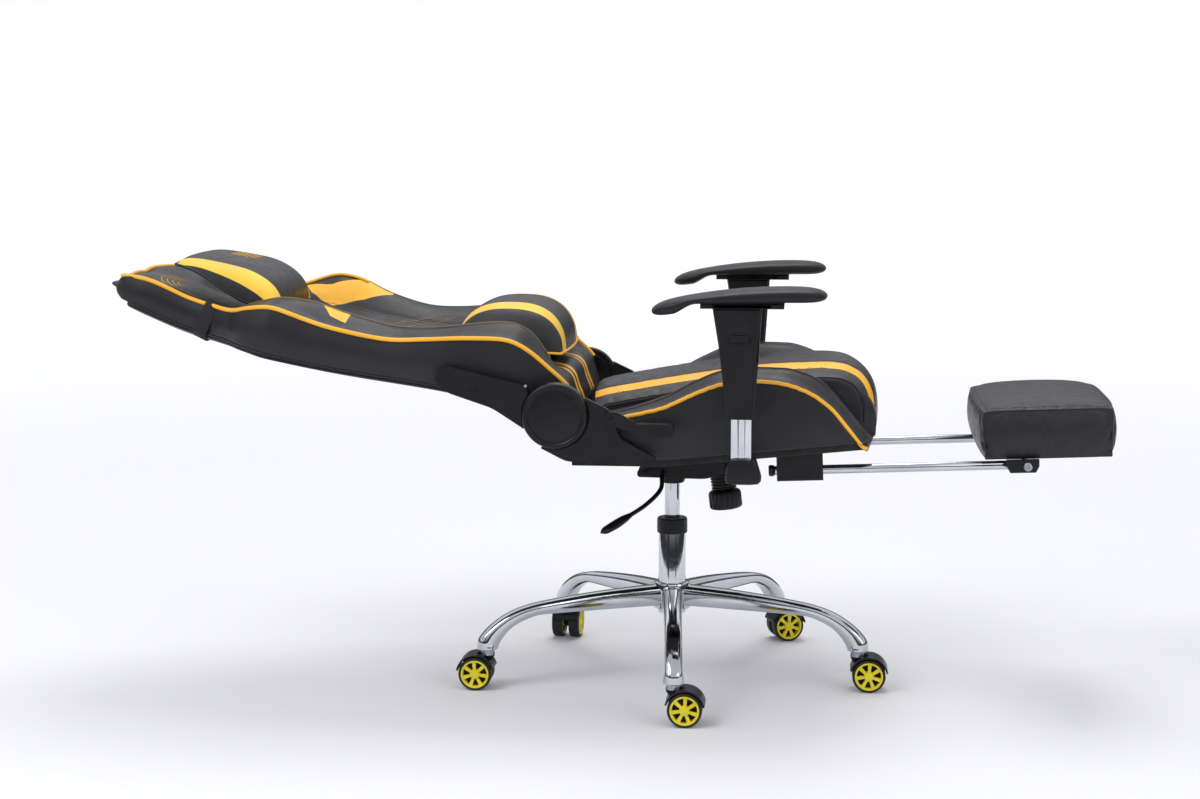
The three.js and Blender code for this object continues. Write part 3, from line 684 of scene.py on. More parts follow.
def mechanism():
    body = rounded([[-62, 376], [60, 374], [118, 388], [120, 408], [100, 417], [50, 413], [-62, 389]], 7)
    cheek = rounded([[-58, 380], [58, 378], [112, 390], [114, 406], [98, 413], [50, 409], [-58, 386]], 5)
    boss = lathe([(14.5, 361.2), (20, 361.2), (22, 363), (24.5, 371), (28, 384), (31, 396), (14.5, 396)], 56,
                 closed=True)
    sides = [plate(cheek, s * 42, s * 43.6) for s in (-1, 1)]
    spots = ((-46, 382), (36, 398), (104, 398))
    bolts = [pin(5.5, s * 42, s * 45.5, x, z) for s in (-1, 1) for x, z in spots]
    piece("tilt_housing_body", joined(plate(body, -42, 42), *sides, boss), STEEL, "tilt_base",
          "tilt_housing", bevel=1.6)
    piece("tilt_bolts", joined(*bolts), STEEL, "tilt_base", bevel=0.5)
    rings = [(19, 19)]
    for i in range(8):
        z = 18 - i * 5.8
        r = mix(25, 23, i / 7)
        rings += [(r - 2.2, z), (r, z - 1.6), (r, z - 3.0), (r - 2.2, z - 4.4)]
    rings += [(16, -28.6), (6.2, -28.6), (6.2, 19)]
    piece("spring_bellows", leaning(lathe(rings, 56, closed=True)), GLOSS, "tilt_base")

    def grip(a, r, h):
        return r + (0.9 * np.cos(18 * a) if r > 28.5 else 0 * a)

    knob = lathe([(0.3, -64), (24, -64), (27.4, -63), (29.2, -60.5), (29.2, -36), (28, -32), (24, -29.2),
                  (0.3, -29.2)], 144, flute=grip)
    stud = lathe([(0.3, -30), (5, -30), (5, -4), (0.3, -4)], 24)
    piece("tension_knob_grip", leaning(knob), PLASTIC, "knob", "tension_knob")
    piece("tension_knob_stud", leaning(stud), ZINC, "knob")
    path = resample([[-15, -27, 386], [-15, -70, 384], [-16, -92, 362], [-40, -128, 340],
                     [-74, -168, 322]], 3)
    line = resample([[-66, -158, 326], [-74, -168, 322], [-92, -191, 313], [-106, -209, 307],
                     [-112, -216, 304.5]], 3)
    t = np.linspace(0, 1, len(line))
    radius = smooth([[0, 4.2], [0.2, 6.4], [0.5, 7.4], [0.85, 6.4], [1, 1.5]])(t)
    piece("gas_lever_rod", joined(tube(path, 4, 16), tube(line, radius, 20, wide=1.35)), GLOSS, "lift_lever",
          "gas_lever")


# ---- recliner ------------------------------------------------------------------------------------
def screw(x, y, z, side, radius=6.0, deep=2.4):
    """A socket-head screw facing sideways, its head flush with y."""
    head = lathe([(0.3, -deep), (radius * 0.5, -deep), (radius * 0.52, -0.3), (radius * 0.9, 0),
                  (radius, -0.6), (radius, -5), (0.3, -5)], 24)
    return sideways(head, side, x, y, z)


def recliner(side, hand):
    face = side * COVER_FACE
    dome = [(0.3, 0), (55, 0), (57, 2), (57, 18.5), (56, 22), (53.8, 24.3), (51, 24.8), (48.5, 23.8),
            (47, 21.8), (45.5, 21.4), (43, 21.8), (30, 22.9), (12, 23.4), (0.3, 23.5)]
    disc = sideways(lathe(dome, 96), side, HINGE[0], face, HINGE[1])
    piece(f"hinge_cap_{hand}", disc, GLOSS, "seat", f"hinge_disc_{hand}")
    outline = [[-398, 584], [-374, 604], [-238, 572], *arc(HINGE, 59, 142, 205, 10), [-294, 532], [-375, 559]]
    cover = plate(rounded(outline, 12), face, face + side * 10)
    piece(f"back_shroud_{hand}", cover, GLOSS, "back", f"back_cover_{hand}", bevel=4.2)
    outline = [[-211, 464], *arc(HINGE, 59, 248, 392, 18), [-90, 531], [-74, 482], [-6, 446], [-69, 439],
               [-166, 441]]
    cover = plate(rounded(outline, 10), face, face + side * 10)
    piece(f"seat_shroud_{hand}", cover, GLOSS, "seat", f"seat_cover_{hand}", bevel=3.2)
    out = side * (COVER_FACE + 10.6)
    piece(f"back_screws_{hand}", screw(-327, out, 568, side, 7.5), STEEL, "back")
    piece(f"seat_screws_{hand}", screw(-45, out, 459, side, 6.5), STEEL, "seat")
    piece(f"back_pin_{hand}", screw(-236, out, 571, side, 2.8, 0.8), ZINC, "back")
    for node in (f"back_bracket_{hand}", f"seat_bracket_{hand}"):
        keep_node(node, STEEL, 0.5)


def recline_lever():
    y = COVER_FACE + 10.4
    link = rounded([[-103, 512], [-95, 529], [-78, 529], [-44, 509], [-44, 491], [-84, 505]], 6)
    grip = rounded([[-48, 488], [16, 488], [19, 492], [19, 506], [15, 510], [-48, 510]], 5)
    ribs = [plate(box_outline(x, x + 2.4, 491.5, 506.5, 1), -y - 15, -y - 16.6) for x in (-8, -2, 4, 10)]
    lever = joined(plate(link, -y, -y - 6), plate(grip, -y + 4, -y - 16), *ribs)
    piece("recline_lever_grip", lever, PLASTIC, "recline_handle", "recline_lever", bevel=1.8)
    piece("recline_pivot", screw(-89, -y - 7.2, 519, -1, 5, 1.6), STEEL, "recline_handle")


# ---- armrests ------------------------------------------------------------------------------------
def ring_xy(x0, x1, y0, y1, z, radius, steps=6):
    o = box_outline(x0, x1, y0, y1, radius, steps)
    return np.stack([o[:, 0], o[:, 1], np.full(len(o), float(z))], 1)


def armrest(side, hand):
    y = side * ARM_Y
    keep_node(f"arm_bracket_{hand}", POST, 2.6)
    keep_node(f"arm_sleeve_{hand}", PLASTIC, 1.2)
    button = plate(box_outline(*BUTTON_X, *BUTTON_Z, 6.4, 8), side * (ARM_FACE - 5), side * (ARM_FACE + 2))
    piece(f"arm_button_cap_{hand}", button, GLOSS, f"button_{hand}", f"arm_button_{hand}",
          bevel=1.4)
    rings = []
    for g, d in ((0.0, -2), (0.0, 0.7), (1.6, 1.0), (2.4, -0.2)):
        o = box_outline(114.4 - g, 149.6 + g, 653.4 - g, 668.6 + g, 7 + g, 8)
        rings.append(np.stack([o[:, 0], np.full(len(o), side * (ARM_FACE + d)), o[:, 1]], 1))
    piece(f"arm_button_rim_{hand}", loft(rings, closed=True), GLOSS, f"arm_{hand}")
    rib = [[x, side * (ARM_FACE + 0.1), z] for x, z in ((154.5, 540), (158, 640), (160, 704))]
    piece(f"arm_sleeve_rib_{hand}", tube(resample(rib, 8), 1.5), PLASTIC, f"arm_{hand}")
    flange = loft([ring_xy(66 + g, 206 - g, y - 30 + g, y + 30 - g, z, 22) for z, g in
                   ((712.4, 2), (713.2, 0.2), (714, 0), (719, 0), (719.6, 0.6))])
    piece(f"arm_flange_{hand}", flange, PLASTIC, f"arm_{hand}")
    boot = loft([ring_xy(x0, x1, y - w, y + w, z, r) for x0, x1, w, z, r in
                 ((122, 156, 14, 412.8, 9), (113, 166, 19, 414.6, 10), (109.4, 169.6, 20.8, 419, 10),
                  (109, 170, 21, 424, 9), (111.5, 165.5, 20.4, 440, 8), (114, 161, 20, 454, 7),
                  (114.6, 160.4, 19.4, 455.8, 7), (116.2, 158.8, 17.6, 456.2, 6))])
    piece(f"arm_boot_cover_{hand}", boot, PLASTIC, "seat", f"arm_boot_{hand}")
    u = np.sin(np.linspace(-math.pi / 2, math.pi / 2, 61)) * 0.9995
    x = 130.5 + 147.5 * u
    line = mix(706, 727, (u + 1) / 2) + 15 * (1 - ((x - 150) / 170) ** 2)
    flat = np.maximum(line - 13, mix(line - 13, 719.9, ease(x, 20, 60) * (1 - ease(x, 212, 250))))
    end = (1 - np.abs(u) ** 9) ** 0.5
    plan = 45 * (1 - 0.16 * np.abs(u) ** 3) * (1 - np.abs(u) ** 9) ** 0.42
    a = around(56)
    rings = []
    for i in range(len(u)):
        mid, tall = mix(flat[i], line[i] + 13.2, 0.5), (line[i] + 13.2 - flat[i]) / 2 * end[i]
        s, c = np.sin(a), np.cos(a)
        section_z = np.sign(s) * np.abs(s) ** 0.62
        section_y = np.sign(c) * np.abs(c) ** np.where(s > 0, 0.62, 0.5)
        crown = -3.2 * section_y ** 2 * (s > 0) * np.abs(section_z)
        section_z = mid + tall * section_z + crown
        rings.append(np.stack([np.full(56, x[i]), y + plan[i] * section_y, section_z], 1))
    piece(f"arm_pad_top_{hand}", loft(rings), SOFT, f"arm_{hand}", f"arm_pad_{hand}", angle=0)


# ---- footrest ------------------------------------------------------------------------------------
def on_rods(shape):
    """A shape moved into the frame of the sloping rods."""
    return turned(shape[0], "y", -math.atan(ROD_SLOPE)) + [0, 0, ROD_Z], shape[1]


def along_rod(outline, y, steps):
    """A lathed shape laid along one rod."""
    p, f = lathe(outline, steps)
    return on_rods((turned(p, "y", math.pi / 2) + [0, y, 0], f))


def foot_plan(u, v):
    """The footrest's outline seen from above, for u and v from -1 to 1."""
    return FOOT_LONG * u * np.sqrt(1 - 0.09 * v ** 4), FOOT_HALF * v * np.sqrt(1 - 0.06 * u ** 4)


def footrest():
    for side, hand in HANDS:
        y = side * ROD_Y
        bar = [(0.3, 190), (7, 190), (8, 191.2), (8, FLIP_X + 4), (6.4, FLIP_X + 7.4), (0.3, FLIP_X + 8)]
        piece(f"footrest_rod_tube_{hand}", along_rod(bar, y, 40), CHROME, "footrest_slide",
              f"footrest_rod_{hand}")
        nut = [(0.3, 179.5), (8.6, 179.5), (10.4, 181), (10.4, 187), (9.4, 188.5), (8.2, 190.5), (0.3, 190.5)]
        piece(f"footrest_stop_{hand}", along_rod(nut, y, 6), PLASTIC, "footrest_slide",
              bevel=0.8)
        keep_node(f"rod_guide_{hand}", PLASTIC, 1.6)
        keep_node(f"footrest_clamp_{hand}", PLASTIC, 1.2)
        head = lathe([(0.3, -1.2), (3.2, -1.4), (3.4, 0), (6.6, 0), (7.5, -1), (7.5, -4.6), (0.3, -4.6)], 36)
        head = on_rods(sideways(head, side, FLIP_X, side * 195, 0))
        piece(f"footrest_screw_{hand}", head, ZINC, "footrest_slide")
    piece("footrest_axle_bar", on_rods(pin(4, -193, 193, FLIP_X, 0)), ZINC, "footrest_slide",
          "footrest_axle")
    keep_node("footrest_board", BOARD, 1.5)
    p, f = box_grid(56, 88, 20)
    u, v, w = p.T
    x, y = foot_plan(u, v)
    sides = 0.985 - 0.03 * np.clip(-w, 0, 1) ** 2
    rise = (w + 1) / 2
    crown = ease(w, 0.2, 1) * (9 * (1 - u * u) * (1 - v ** 4) - 5 * (u * u * v * v) ** 2)
    z = mix(FOOT_BASE, FOOT_TOP, rise) + crown
    swell = np.sin(math.pi * np.clip(rise * 1.04, 0, 1)) * 4.5
    x = FOOT_CENTRE + x * sides + swell * u ** 5 * (1 - v ** 6) * np.where(u > 0, 1, 0.35)
    y = y * (sides + 0.005) + swell * v ** 5 * (1 - u ** 6)
    place = np.stack([x, y, z], 1)
    seam = (np.abs(w) > 0.99) & ((np.abs(u) > 0.99) | (np.abs(v) > 0.99)) | (w < -0.9)
    pad = piece("footrest_cushion", on_rods((place, f)), LEATHER, "footrest_flip",
                "footrest_pad", angle=0)
    puff(pad, 9.0, 7.0, seam, stiff=6.0, spare=0.03)
    subdivide(pad)
    find = surface_of(pad)
    t = np.linspace(-1, 1, 41)[:-1]
    one = np.ones(40)
    u, v = np.concatenate([one, -t, -one, t]), np.concatenate([t, one, -t, -one])
    plan = np.stack(foot_plan(u, v), 1)

    def loop(along, across, height, lift):
        ring = [FOOT_CENTRE + plan[:, 0] * along, plan[:, 1] * across, np.full(len(plan), height)]
        return find(on_rods((np.column_stack(ring), None))[0], lift)

    cord = tube(resample(loop(0.985, 0.99, 98.0, 0.3), 4, True), 1.6, 8, True)
    piece("footrest_welt", cord, LEATHER, "footrest_flip")
    for mark, height, grow in (("side", 90.0, 1.0), ("top", 103.0, 0.93)):
        ring = loop(grow, grow + 0.02, height, 0.1)
        sewn(f"footrest_stitching_{mark}", np.vstack([ring, ring[:1]]), "footrest_flip")
    for su, sv in ((1, 1), (1, -1), (-1, 1), (-1, -1)):
        x, y = foot_plan(su, sv)
        drop = np.linspace(96, 16, 20)
        line = np.column_stack([np.full(20, FOOT_CENTRE + x * 0.98), np.full(20, y * 0.98), drop])
        name = f"footrest_corner_seam_{'front' if su > 0 else 'rear'}_{'left' if sv > 0 else 'right'}"
        welt(name, even(find(on_rods((line, None))[0], 0.1)), 1.2, LEATHER, "footrest_flip")


# ---- seat ----------------------------------------------------------------------------------------
seat_centre = smooth([[-165, 526], [-83, 547], [47, 570], [157, 586], [231, 592], [300, 592], [330, 586],
                      [350, 572], [364, 550], [372, 520]])
seat_crest = smooth([[-165, 502], [-70, 522], [-6, 543], [45, 570], [97, 592], [143, 599], [205, 598],
                     [250, 586], [290, 557], [322, 520], [345, 492], [372, 470]])
seat_piping = smooth([[-165, 498], [-70, 516], [-6, 531], [45, 554], [97, 574], [157, 581], [199, 578],
                      [242, 565], [285, 536], [319, 495], [343, 466], [372, 456]])
seat_half = smooth([[-165, 255], [-60, 261], [250, 261], [330, 252], [372, 236]])


def clear_of_back(p, sweep=78.5):
    """Pushes points out of the room that the back's lower end turns in."""
    d = p[:, [0, 2]] - HINGE
    r = np.linalg.norm(d, axis=1)
    near = r < sweep
    p[near, 0] = HINGE[0] + d[near, 0] / r[near] * sweep
    p[near, 2] = HINGE[1] + d[near, 1] / r[near] * sweep
    return p


def pan_top(x):
    """Height of the seat pan's top, which rises towards the front."""
    return 441.4 + np.maximum(0, x) * 0.1


def seat():
    keep_node("seat_pan", BOARD, 1.5)
    keep_node("seat_plate", STEEL, 0.8)
    p, f = box_grid(120, 110, 18)
    u, v, w = p.T
    x, a = mix(SEAT_REAR, SEAT_FRONT - 8, (u + 1) / 2), np.abs(v)
    crest, edge = seat_crest(x), seat_piping(x)
    well = seat_centre(x) - 27
    steep = ease(well - crest, -25, 5)
    climb = np.clip((a - mix(0.56, 0.585, steep)) / mix(0.2, 0.05, steep), 0, 1)
    top = mix(well, crest, climb * climb * (3 - 2 * climb)) - (crest - edge) * ease(a, 0.8, 1.0)
    top = top - 3 * bump(a, 0.9, 0.05)
    rise = (w + 1) / 2
    bulge = 4.5 * np.sin(math.pi * rise) * ease(x, -140, -60) * ease(a, 0.96, 1)
    front = 6 * np.sin(math.pi * rise) * ease(u, 0.96, 1) * (1 - a ** 6)
    place = np.stack([x + front - 14 * ease(u, 0.9, 1) * a ** 3, v * seat_half(x) + np.sign(v) * bulge,
                      mix(pan_top(x), top, rise)], 1)
    body = piece("seat_bolsters", (clear_of_back(place), f), LEATHER, "seat", "seat_cushion",
                 levels=1, angle=0)
    line = resample([[-158, 527], [-120, 540], [-83, 548], [47, 571], [157, 587], [231, 592], [284, 593],
                     [316, 588], [342, 572], [357, 546], [362, 516], [361, 484], [357, 462]], 5)
    tangent = np.gradient(line, axis=0)
    tangent /= np.linalg.norm(tangent, axis=1)[:, None]
    n = len(line) - 1
    p, f = box_grid(n, 72, 8)
    u, v, w = p.T
    i = np.rint((u + 1) / 2 * n).astype(int)
    a = np.abs(v)
    half = 158 + 4 * bump(line[i, 0], 300, 60)
    y = v * half
    across = np.abs(y)
    seams = [SEAT_STRIPE - SEAT_STRIPE_HALF, SEAT_STRIPE + SEAT_STRIPE_HALF]
    crown = 8 - 24 * a * a - 4 * a ** 10 - 1.8 * bump(across, seams[0], 4) - 1.8 * bump(across, seams[1], 4)
    crown = crown + 2.0 * bump(across, SEAT_STRIPE, 13)
    rise = (w + 1) / 2
    crown = crown * mix(0.5, 1, ease(i, 0, 5))
    outer = np.stack([line[i, 0] - tangent[i, 1] * crown, line[i, 1] + tangent[i, 0] * crown], 1)
    inner = np.stack([line[i, 0] + tangent[i, 1] * 30, line[i, 1] - tangent[i, 0] * 30], 1)
    gather = 0.85 * ease(line[i, 0] + 0.4 * (590 - line[i, 1]), 230, 340)
    inner = mix(inner, np.array([285.0, 470.0]), gather[:, None])
    flat = mix(inner, outer, rise[:, None])
    place = np.stack([flat[:, 0], y, flat[:, 1]], 1)
    stripe = SEAT_STRIPE_HALF - np.abs(across - SEAT_STRIPE)
    pad = piece("seat_centre_pad", (clear_of_back(place, 54), f), LEATHER, "seat", angle=0,
                fields={"amber": np.where(w > 0.9, stripe, -5)})
    seam = (w < 0.95) | (a > 0.985) | (i < 3)
    seam = seam | (np.abs(across - seams[0]) < 3) | (np.abs(across - seams[1]) < 3)
    puff(pad, 5.0, 5.0, seam, stiff=8.0, spare=0.01)
    subdivide(pad)
    find = surface_of(body)
    xs = np.linspace(-118, 352, 95)
    for side, hand in HANDS:
        edge = np.stack([xs, side * (seat_half(xs) + 0.5), seat_piping(xs) + 0.5], 1)
        welt(f"seat_piping_{hand}", resample(find(edge, 1.2), 4), 3.4, AMBER, "seat", 12)
        crest_line = np.stack([xs[6:82], side * np.full(76, 211.0), seat_crest(xs[6:82]) + 3], 1)
        welt(f"seat_crest_welt_{hand}", resample(find(crest_line, 0.1), 4), 1.5, LEATHER, "seat")
        inner = np.stack([xs[6:84], side * np.full(78, 219.0), seat_crest(xs[6:84]) + 3], 1)
        sewn(f"seat_stitching_{hand}", find(inner, 0.15), "seat")
        under = np.stack([xs, side * (seat_half(xs) + 3), seat_piping(xs) - 9], 1)
        sewn(f"seat_gusset_stitching_{hand}", find(under, 0.15), "seat")
    top, trim = surface_of(pad), [pad]
    k = np.arange(6, n - 4)

    def beside_spine(y, lift):
        x, z = line[k, 0] - tangent[k, 1] * lift, line[k, 1] + tangent[k, 0] * lift
        return np.stack([x, np.full(len(k), y), z], 1)

    for side, hand in HANDS:
        for mark, off in (("inner", 72.0), ("outer", 118.0)):
            path = top(beside_spine(side * off, 4), 0.15)
            trim.append(sewn(f"seat_stripe_stitching_{mark}_{hand}", path, "seat", pitch=7))
        rim = top(beside_spine(side * 160.0, -10), 0.2)
        trim.append(welt(f"seat_pad_welt_{hand}", resample(rim, 4), 1.8, LEATHER, "seat"))
    for soft in trim:
        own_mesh(soft)


# ---- back ----------------------------------------------------------------------------------------
back_rear = smooth([[-1010, 699], [-1000, 694], [-971, 682], [-919, 660], [-873, 642], [-828, 629],
                    [-742, 614], [-697, 603], [-541, 573], [-398, 551], [-260, 524], [-150, 508],
                    [-140, 506]])
back_half = smooth([[-1003, 118], [-995, 131], [-975, 143], [-950, 149], [-900, 153], [-835, 160],
                    [-790, 190], [-745, 242], [-700, 263], [-600, 262], [-500, 255], [-400, 257],
                    [-280, 257], [-225, 248], [-150, 236]])
back_centre = smooth([[-1000, 50], [-965, 60], [-800, 60], [-700, 56], [-500, 62], [-300, 66], [-220, 72],
                      [-200, 71], [-175, 58], [-150, 30]])
back_edge = smooth([[-1000, 52], [-960, 69], [-880, 66], [-787, 67], [-745, 84], [-707, 98], [-646, 90],
                    [-600, 84], [-502, 80], [-424, 92], [-359, 107], [-292, 118], [-250, 106], [-215, 84],
                    [-185, 64], [-150, 50]])
back_crest = smooth([[-820, 0], [-760, 4], [-707, 20], [-672, 34], [-640, 38], [-576, 27], [-502, 20],
                     [-424, 16], [-300, 26], [-262, 26], [-229, 15], [-200, 3], [-150, 0]])


def on_back(x, y, height):
    """A point above the back's rear line, at x along it."""
    x, height = np.asarray(x, float), np.asarray(height, float)
    slope = (back_rear(x + 1) - back_rear(x - 1)) / 2
    long = np.hypot(1, slope)
    square = 0.34 * np.clip((-915 - x) / 83, 0, 1) ** 2 + 0.52 * np.clip((x + 190) / 40, 0, 1) ** 2
    y = np.broadcast_to(y, np.broadcast(x, height).shape) * 1.0
    return np.stack([x - (slope / long + square) * height, y, back_rear(x) + height / long], -1)


def back_height(x, a, side=0.0):
    """Height of the front face where a runs from 0 in the middle to 1 at the piping."""
    centre, crest, edge = back_centre(x), back_edge(x) + back_crest(x), back_edge(x)
    crest = crest - 12 * (np.asarray(side) < 0) * bump(x, -665, 60)
    top = mix(centre - 3 * bump(a, 0.4, 0.18), crest, ease(a, 0.47, 0.81))
    fall = (crest - edge) * ease(a, 0.8, 1.02)
    return top - fall - 2.2 * bump(a, 0.6, 0.012) * ease(x, -790, -730) + 1.2 * bump(a, 0.8, 0.02)


def front_of_back(x, y, lift=0.0):
    """A point on the back's front face, or lifted off it."""
    a = np.abs(y) / back_half(x)
    return on_back(x, y, back_height(x, a, np.sign(y)) + lift)


def back():
    p, f = box_grid(170, 132, 16)
    u, v, w = p.T
    s = (u + 1) / 2
    x, a, rise = mix(BACK_HEAD, BACK_FOOT, s) + 10 * v ** 6 * (1 - s) ** 12, np.abs(v), (w + 1) / 2
    half = back_half(x)
    height = mix(14.6, back_height(x, a, v), rise)
    bulge = 6.5 * np.sin(math.pi * rise) * ease(a, 0.96, 1) * np.sign(v) * ease(x, -1000, -960)
    bulge *= mix(1, 0.2, ease(x, -420, -330))
    end = -12 * np.sin(math.pi * rise ** 0.62) * (u < -0.999) * (1 - a ** 14)
    place = on_back(x + end, v * half + bulge, height)
    y = v * half
    wing = amber_wing(x, np.abs(y))
    lines = np.maximum(*(10 - np.abs(np.abs(y) - stripe) for stripe in BACK_STRIPES))
    low_stripe = np.where(x > -250, lines, -5)
    amber = np.where(w > 0.9, np.maximum(wing, low_stripe), np.where(u > 0.99, low_stripe, -5))
    cushion = piece("back_upholstery", (place, f), LEATHER, "back", "back_cushion", levels=1,
                    angle=0, fields={"amber": amber})
    p, f = box_grid(110, 64, 4)
    u, v, w = p.T
    a, s = np.abs(v), (u + 1) / 2
    x = mix(BACK_HEAD + 13, BACK_FOOT - 2, s) + 10 * v ** 6 * (1 - s) ** 12
    under = 7 * ease(a, 0.8, 1) + 2.5 * bump(a, 0.62, 0.02)
    shell = on_back(x, v * (back_half(x) - 3.4), np.where(w > 0.5, 13.8, np.where(w < -0.5, under, 10)))
    piece("back_rear_panel", (shell, f), PANEL, "back", "back_shell", levels=1,
          angle=0)
    find = surface_of(cushion)
    xs, edges = np.linspace(-975, -165, 170), []
    crest_x, wing_x = np.linspace(-770, -215, 112), np.linspace(-762, -624, 30)
    inner_x, rear_x = np.linspace(-770, -190, 116), np.linspace(-975, -180, 160)

    def across(x, side, share, lift):
        return front_of_back(x, side * back_half(x) * share, lift)

    for side, hand in HANDS:
        edges.append(even(across(xs[::-1], side, 1, 0) + [0, side * 0.8, 0.8], 8))
        path = even(find(across(crest_x, side, 0.81, 2), 0.3))
        welt(f"back_crest_welt_{hand}", path, 1.5, EDGE, "back")
        path = even(find(across(wing_x, side, 0.775 if side > 0 else 0.7, 3), 1.6))
        welt(f"back_wing_welt_{hand}", path, 3.0, AMBER, "back", 10)
        sewn(f"back_wing_stitching_{hand}", find(across(inner_x, side, 0.585, 1), 0.2), "back")
        gusset = on_back(rear_x, side * (back_half(rear_x) + 3), np.full(160, 24.0))
        sewn(f"back_gusset_stitching_{hand}", find(gusset, 0.15), "back")
        rim = on_back(rear_x, side * (back_half(rear_x) + 1), np.full(160, 14.4))
        welt(f"back_rear_welt_{hand}", resample(find(rim, 0.4), 4), 2.0, PANEL, "back")
    t = np.linspace(0.93, -0.93, 40)
    tip = BACK_HEAD + 10 * t ** 6
    crown = on_back(tip, t * back_half(tip), back_height(tip, np.abs(t))) + [-0.8, 0, 0.8]
    loop = np.vstack([edges[0], crown, edges[1][::-1]])
    welt("back_piping", resample(even(loop, 5), 4), 3.8, AMBER, "back", 12)
    for side, hand in HANDS:
        for mark, shift in (("upper", 0), ("lower", 16)):
            gx = np.linspace(-600 + shift, -455 + shift, 40)
            gy = side * (mix(112, 178, (gx + 600) / 145) - shift)
            sewn(f"back_gold_line_{mark}_{hand}", find(front_of_back(gx, gy, 1), 0.25), "back", THREAD,
                 length=4.4, radius=0.5)
    return cushion


def amber_wing(x, y):
    """Distance inside the amber panel on each shoulder wing, which wraps over its crest."""
    return inside([(-742, 186), (-726, 166), (-676, 150), (-620, 170), (-571, 203), (-574, 238), (-604, 234),
                   (-630, 206), (-690, 184)], x, y)


# ---- pillows, straps -----------------------------------------------------------------------------
def pillow(name, node, size, lean, spot, stripe, piping, drop, flat):
    """A seamed pillow, size in half-lengths and thickness; drop sinks its underside at its two ends."""
    long, wide, thick = size

    def plan(u, v):
        return u * long * (1 - 0.07 * v * v) * 0.985, v * wide * (1 - 0.05 * u * u) * 0.985

    p, f = box_grid(64, 92, 2)
    u, v, w = p.T
    dome = np.sqrt(np.clip((1 - np.abs(u) ** 2.8) * (1 - np.abs(v) ** flat), 0, 1))
    dome = dome * mix(1 - lean * 0.9, 1, ease(u, -0.9, 0.3))
    sink = mix(drop[0], drop[1], ease(u, -0.8, 0.5))
    height = np.where(w > 0, (thick - 5 + sink) * dome * w, 7 * dome * w) - sink
    x, y = plan(u, v)
    place = turned(np.stack([x, y, height], 1), "y", lean) + spot
    obj = piece(name, (place, f), PILLOW, "back", node, angle=0,
                fields={"amber": np.where(w > 0, stripe(y), -5)})
    puff(obj, 4.0, 8.0, (np.abs(w) < 0.1) | (np.abs(stripe(y)) < 2.6) & (w > 0), stiff=8.0, spare=0.05)
    subdivide(obj)
    t, one = np.linspace(-1, 1, 40)[:-1], np.ones(39)
    u, v = np.concatenate([one, -t, -one, t]), np.concatenate([t, one, -t, -one])
    rim = np.stack([*plan(u, v), -mix(drop[0], drop[1], ease(u, -0.8, 0.5))], 1)
    rim = turned(rim, "y", lean) + spot
    cord = tube(resample(rim, 4, True), 2.4, 10, True)
    piece(f"{name}_piping", cord, piping, "back")
    return obj


def soft_trim(cushion):
    head = pillow("head_pillow_body", "head_pillow", (108, 152, 38), 0.29, [-788, 0, 740],
                  lambda y: PILLOW_STRIPE_HALF - np.abs(np.abs(y) - PILLOW_STRIPE), PILLOW, (2, 30), 4.5)
    pillow("lumbar_pillow_body", "lumbar_pillow", (102, 160, 46), 0.06, [-281, 0, 660],
           lambda y: LUMBAR_STRIPE_HALF - np.abs(np.abs(y + 11) - LUMBAR_STRIPE), AMBER, (34, 42), 6)
    find = surface_of(cushion)
    for i in range(4):
        t, radius = np.linspace(-1.1, 1.1, 30), 16 + 8 * i
        ring = front_of_back(-922 + radius * np.cos(math.pi + t), radius * 1.5 * np.sin(t) - 10, 1)
        sewn(f"head_stitching_{i}", find(ring, 0.3), "back", AMBER, pitch=5.5, radius=0.9)
    find = surface_of(head)
    for i in range(7):
        spot = np.linspace(-34, 34, 16)
        row = np.column_stack([np.full(16, -812.0 + 7 * i), 26 + spot, np.full(16, 800.0 - 2 * i)])
        sewn(f"head_pillow_stitching_{i}", find(row, 0.3), "back", AMBER, pitch=5.5, radius=0.9)
    half = [[80, -2.4], [132, -1.8], [152, 3], [163, 10], [169.5, 20], [171.5, 34], [171.5, 56], [168, 67],
            [157, 72.5], [136, 68], [122, 65]]
    path = resample([[-y, z] for y, z in half[::-1]] + half, 5)
    line = np.stack([np.zeros(len(path)), path[:, 0], path[:, 1]], 1)
    line = turned(line, "y", STRAP_LEAN) + [-842, 0, 635]
    across = turned(np.array([[1.0, 0, 0]]), "y", STRAP_LEAN)[0]
    piece("head_strap_band", band(line, 25, 2.2, across), WEBBING, "back", "head_strap", angle=30)
    xs = np.linspace(-800, -420, 60)
    belt = on_back(xs, 0.0, np.full(60, -2.2))
    piece("back_belt_band", band(belt, 32, 2.2, [0, 1, 0]), WEBBING, "back", "back_belt", angle=30)
    o = box_outline(-29, 29, -23, 23, 8)
    p, f = loft([np.column_stack([o * k, np.full(len(o), float(z))]) for k, z in
                 ((0.93, -6), (1, -4), (1, 4), (0.93, 6))])
    buckle = turned(p, "y", 0.2) + [-608, 0, 577], f
    piece("belt_buckle", buckle, PLASTIC, "back")


# ---- room, light and camera ----------------------------------------------------------------------
def studio_mesh(name, points, faces, look, seen=True):
    """A mesh of the room. One that is not seen still shows in reflections."""
    mesh = bpy.data.meshes.new(name)
    mesh.from_pydata(points, [], faces)
    mesh.materials.append(look)
    obj = bpy.data.objects.new(name, mesh)
    bpy.context.scene.collection.objects.link(obj)
    if not seen:
        obj.visible_camera = obj.visible_diffuse = obj.visible_shadow = False
    obj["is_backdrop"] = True
    return obj


